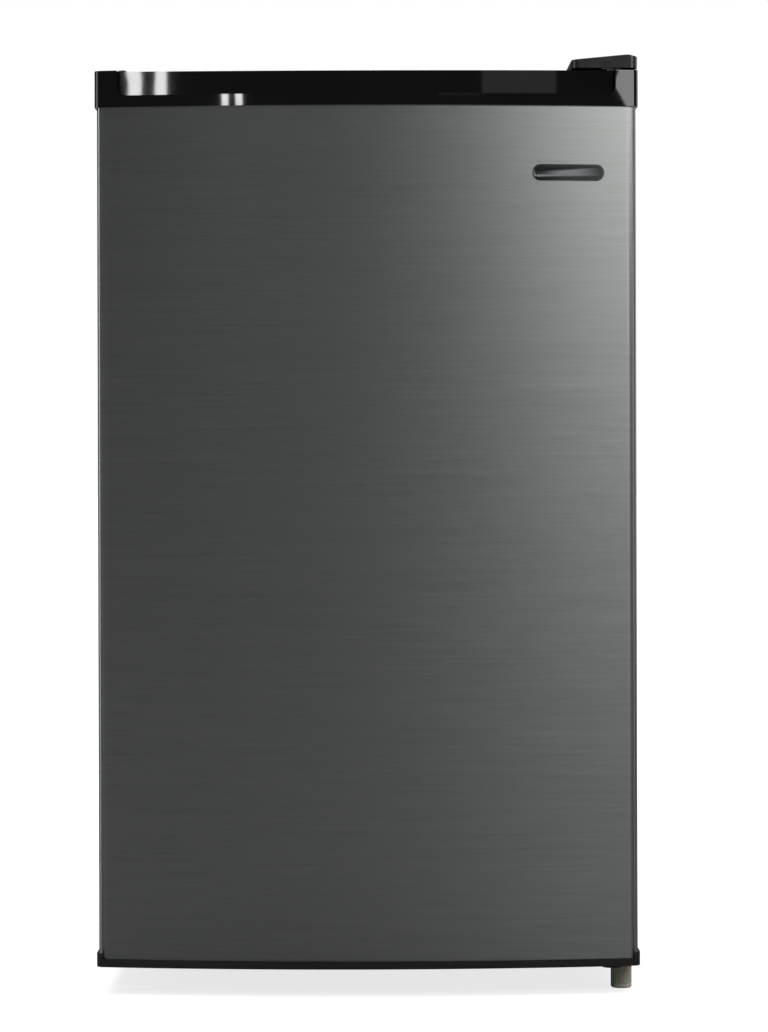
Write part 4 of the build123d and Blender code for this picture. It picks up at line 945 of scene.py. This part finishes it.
def weld_spots():
    """A small weld where every condenser wire crosses a run of the tube."""
    node = "condenser_wires"
    low, high = span(node)
    wires = islands(node)
    xs = sorted({round(middle(box)[0], 1) for box in wires})
    runs = 13
    overrun = 8.0  # the wires reach this far past the first and the last run
    first, last = wires[0][0][2] + overrun, wires[0][1][2] - overrun
    y, depth = (low[1] + high[1]) / 2, (high[1] - low[1]) / 2 - 1.2
    step = (xs[-1] - xs[0]) / (len(xs) - 1)
    pitch = (last - first) / (runs - 1)
    meshes = []
    for side in (-1, 1):
        spot = bmesh.new()
        bmesh.ops.create_icosphere(spot, subdivisions=1, radius=1.0)
        bmesh.ops.scale(spot, vec=(1.5, 1.3, 1.9), verts=spot.verts)
        place = at((xs[0] + xs[-1]) / 2, y + side * depth, (first + last) / 2)
        meshes.append(rows("spots", spot, len(xs), step, runs, pitch, place, 80))
    piece("condenser_welds", joined("condenser_welds", meshes), BODY[node], "black_steel")


def back_of_cabinet():
    """Stiffening beads rolled into the back sheet, and a blank foil plate above the coil."""
    node = "rear_panel"
    low, high = span(node)
    place = at(0, high[1] - 0.4, (low[2] + high[2]) / 2 + 120)
    beads = rib_rows("panel_beads", 1, 1, (404, 9), 1.9, place, 5, 92.0)
    piece("panel_beads", beads, BODY[node], SLOT[node])
    y, z = (high[1] - 0.1, high[1] + 0.5), (high[2] - 40, high[2] - 8)
    plate = mesh_of("blank_foil_plate", rounded_block((96, 176), y, z, 0.28))
    piece("blank_foil_plate", plate, BODY[node], "aluminium", foil)


def compressor_details():
    """The pinched-off filling tube, and a blank foil disc on the dome."""
    node = "compressor_shell_top"
    low, high = span(node)
    x, y, _ = middle((low, high))
    bend = 10  # the radius of the tube's one bend, from level to upright
    inner, base, line = low[0] + 12, low[2] + 14, y + 18
    path = [(inner + 16, line, base), (inner, line, base)]
    for i in range(1, 9):
        angle = math.pi / 2 * i / 8
        along, up = bend * math.sin(angle), bend * (1 - math.cos(angle))
        path.append((inner - along, line, base + up))
    path += [(inner - bend, line, base + bend + up) for up in (10, 20, 28)]
    thin, wide, tall = (inner - 11.2, inner - 8.8), (line - 4, line + 4), (base + 36, base + 48)
    pinch = mesh_of("pinch", rounded_block(thin, wide, tall, 0.9))
    mesh = joined("filling_tube", [tube_mesh("filling_tube", path, 2.6), pinch])
    piece("filling_tube", mesh, BODY[node], "copper")
    profile = ((17, -0.4), (17, 0.15), (16.8, 0.25))
    label = loft([disc(radius, high[2] + up, 64, (x, y)) for radius, up in profile])
    piece("dome_label", mesh_of("dome_label", label), BODY[node], "aluminium", foil)


PIECES = (
    door_sheet, plain_badge, door_seal, screws, door_bins, vegetable_drawer,
    evaporator_channels, liner_ribs, dial, dial_scale, housing_vents,
    weld_spots, back_of_cabinet, compressor_details,
)
for make in PIECES:
    make()
for side in ("right", "left"):
    front_foot(side)


# Floor, light and camera


def studio_floor():
    """A plain white floor: bright to the lens, and dim where the object mirrors it."""
    mesh = bpy.data.meshes.new("studio_floor")
    reach = 60.0  # metres to each side, past what any view shows
    corners = [(-reach, -reach, 0), (reach, -reach, 0), (reach, reach, 0), (-reach, reach, 0)]
    mesh.from_pydata(corners, [], [(0, 1, 2, 3)])
    floor = link("studio_floor", mesh)
    material, tree, shader, _ = new_material("white_studio_floor")
    seen = add(tree, "ShaderNodeLightPath").outputs["Is Camera Ray"]
    tree.links.new(tint(tree, seen, "#6a6a6a", "#8e8e8e"), shader.inputs["Base Color"])
    # Most of its white is even, so that the shadow under the object stays pale.
    tree.links.new(maths(tree, "MULTIPLY", seen, 0.78), shader.inputs["Emission Strength"])
    shader.inputs["Emission Color"].default_value = linear("#ffffff")
    set_shader(shader, Roughness=0.95, Specular_IOR_Level=0.0)
    mesh.materials.append(material)


def softbox(name, place, target, size, power):
    """A rectangular area light that faces a target."""
    lamp = bpy.data.lights.new(name, "AREA")
    lamp.shape = "RECTANGLE"
    lamp.size, lamp.size_y = size
    lamp.energy = power
    light = link(name, lamp)
    light.location = place
    away = Vector(place) - Vector(target)
    light.rotation_euler = away.to_track_quat("Z", "Y").to_euler()
    light.visible_camera = False


def skylight():
    """A wide even light from above, which whitens the floor and softens its shadow."""
    lamp = bpy.data.lights.new("skylight", "SUN")
    lamp.energy = 4.3
    lamp.angle = math.radians(70)
    light = link("skylight", lamp)
    light.visible_glossy = False


def studio_world():
    """White behind the object, and a dim room for its reflections."""
    world = bpy.data.worlds.new("studio_room")
    bpy.context.scene.world = world
    world.use_nodes = True
    tree = world.node_tree
    tree.nodes.clear()
    seen = add(tree, "ShaderNodeLightPath").outputs["Is Camera Ray"]
    strength = add(tree, "ShaderNodeMapRange", {"Value": seen, "To Min": 0.08, "To Max": 1.0})
    inputs = {"Color": linear("#ffffff"), "Strength": strength.outputs["Result"]}
    light = add(tree, "ShaderNodeBackground", inputs)
    output = add(tree, "ShaderNodeOutputWorld")
    tree.links.new(light.outputs[0], output.inputs["Surface"])


def studio_camera():
    """A long lens, level with the middle of the door."""
    data = bpy.data.cameras.new("camera")
    data.lens = 120.6
    # The lens stays level; the shifts frame the object.
    data.shift_x, data.shift_y = 0.0163, -0.0436
    camera = link("camera", data)
    distance, height = 2.98, 0.454
    camera.location = (0.0, LOW[1] - distance, height)
    camera.rotation_euler = (math.radians(90), math.radians(0.16), 0.0)
    bpy.context.scene.camera = camera


studio_floor()
studio_world()
studio_camera()
skylight()
FRONT = (0.0, LOW[1], 0.5)
BACK = (0.0, HIGH[1], 0.4)
# Each one's place, target, size and power.
SOFTBOXES = {
    "key_high_right": ((1.3, -2.3, 1.8), FRONT, (1.1, 0.9), 27.0),
    "key_side_right": ((1.54, -2.3, 1.2), FRONT, (0.9, 0.6), 8.0),
    "patch_right": ((0.45, -2.75, 1.12), (0, LOW[1], 0.8), (0.22, 0.12), 0.03),
    "side_left": ((-1.9, -0.5, 0.5), FRONT, (0.5, 2.4), 9.0),
    "fill_left": ((-2.2, -1.0, 0.8), FRONT, (1.2, 1.8), 8.0),
    "side_right": ((1.9, 0.6, 0.9), (0.2, 0, 0.5), (0.8, 1.4), 7.0),
    "strip_left_far": ((-0.674, -2.75, 1.1), (-0.2, LOW[1], 0.79), (0.033, 0.12), 0.22),
    "strip_left_near": ((-0.606, -2.75, 1.1), (-0.18, LOW[1], 0.79), (0.033, 0.12), 0.22),
    "back_left": ((-1.2, 1.6, 3.0), BACK, (1.4, 1.4), 40.0),
    "back_right": ((1.4, 1.5, 2.8), BACK, (1.2, 1.2), 28.0),
}
for name, values in SOFTBOXES.items():
    softbox(name, *values)
bpy.context.scene.view_settings.view_transform = "Standard"
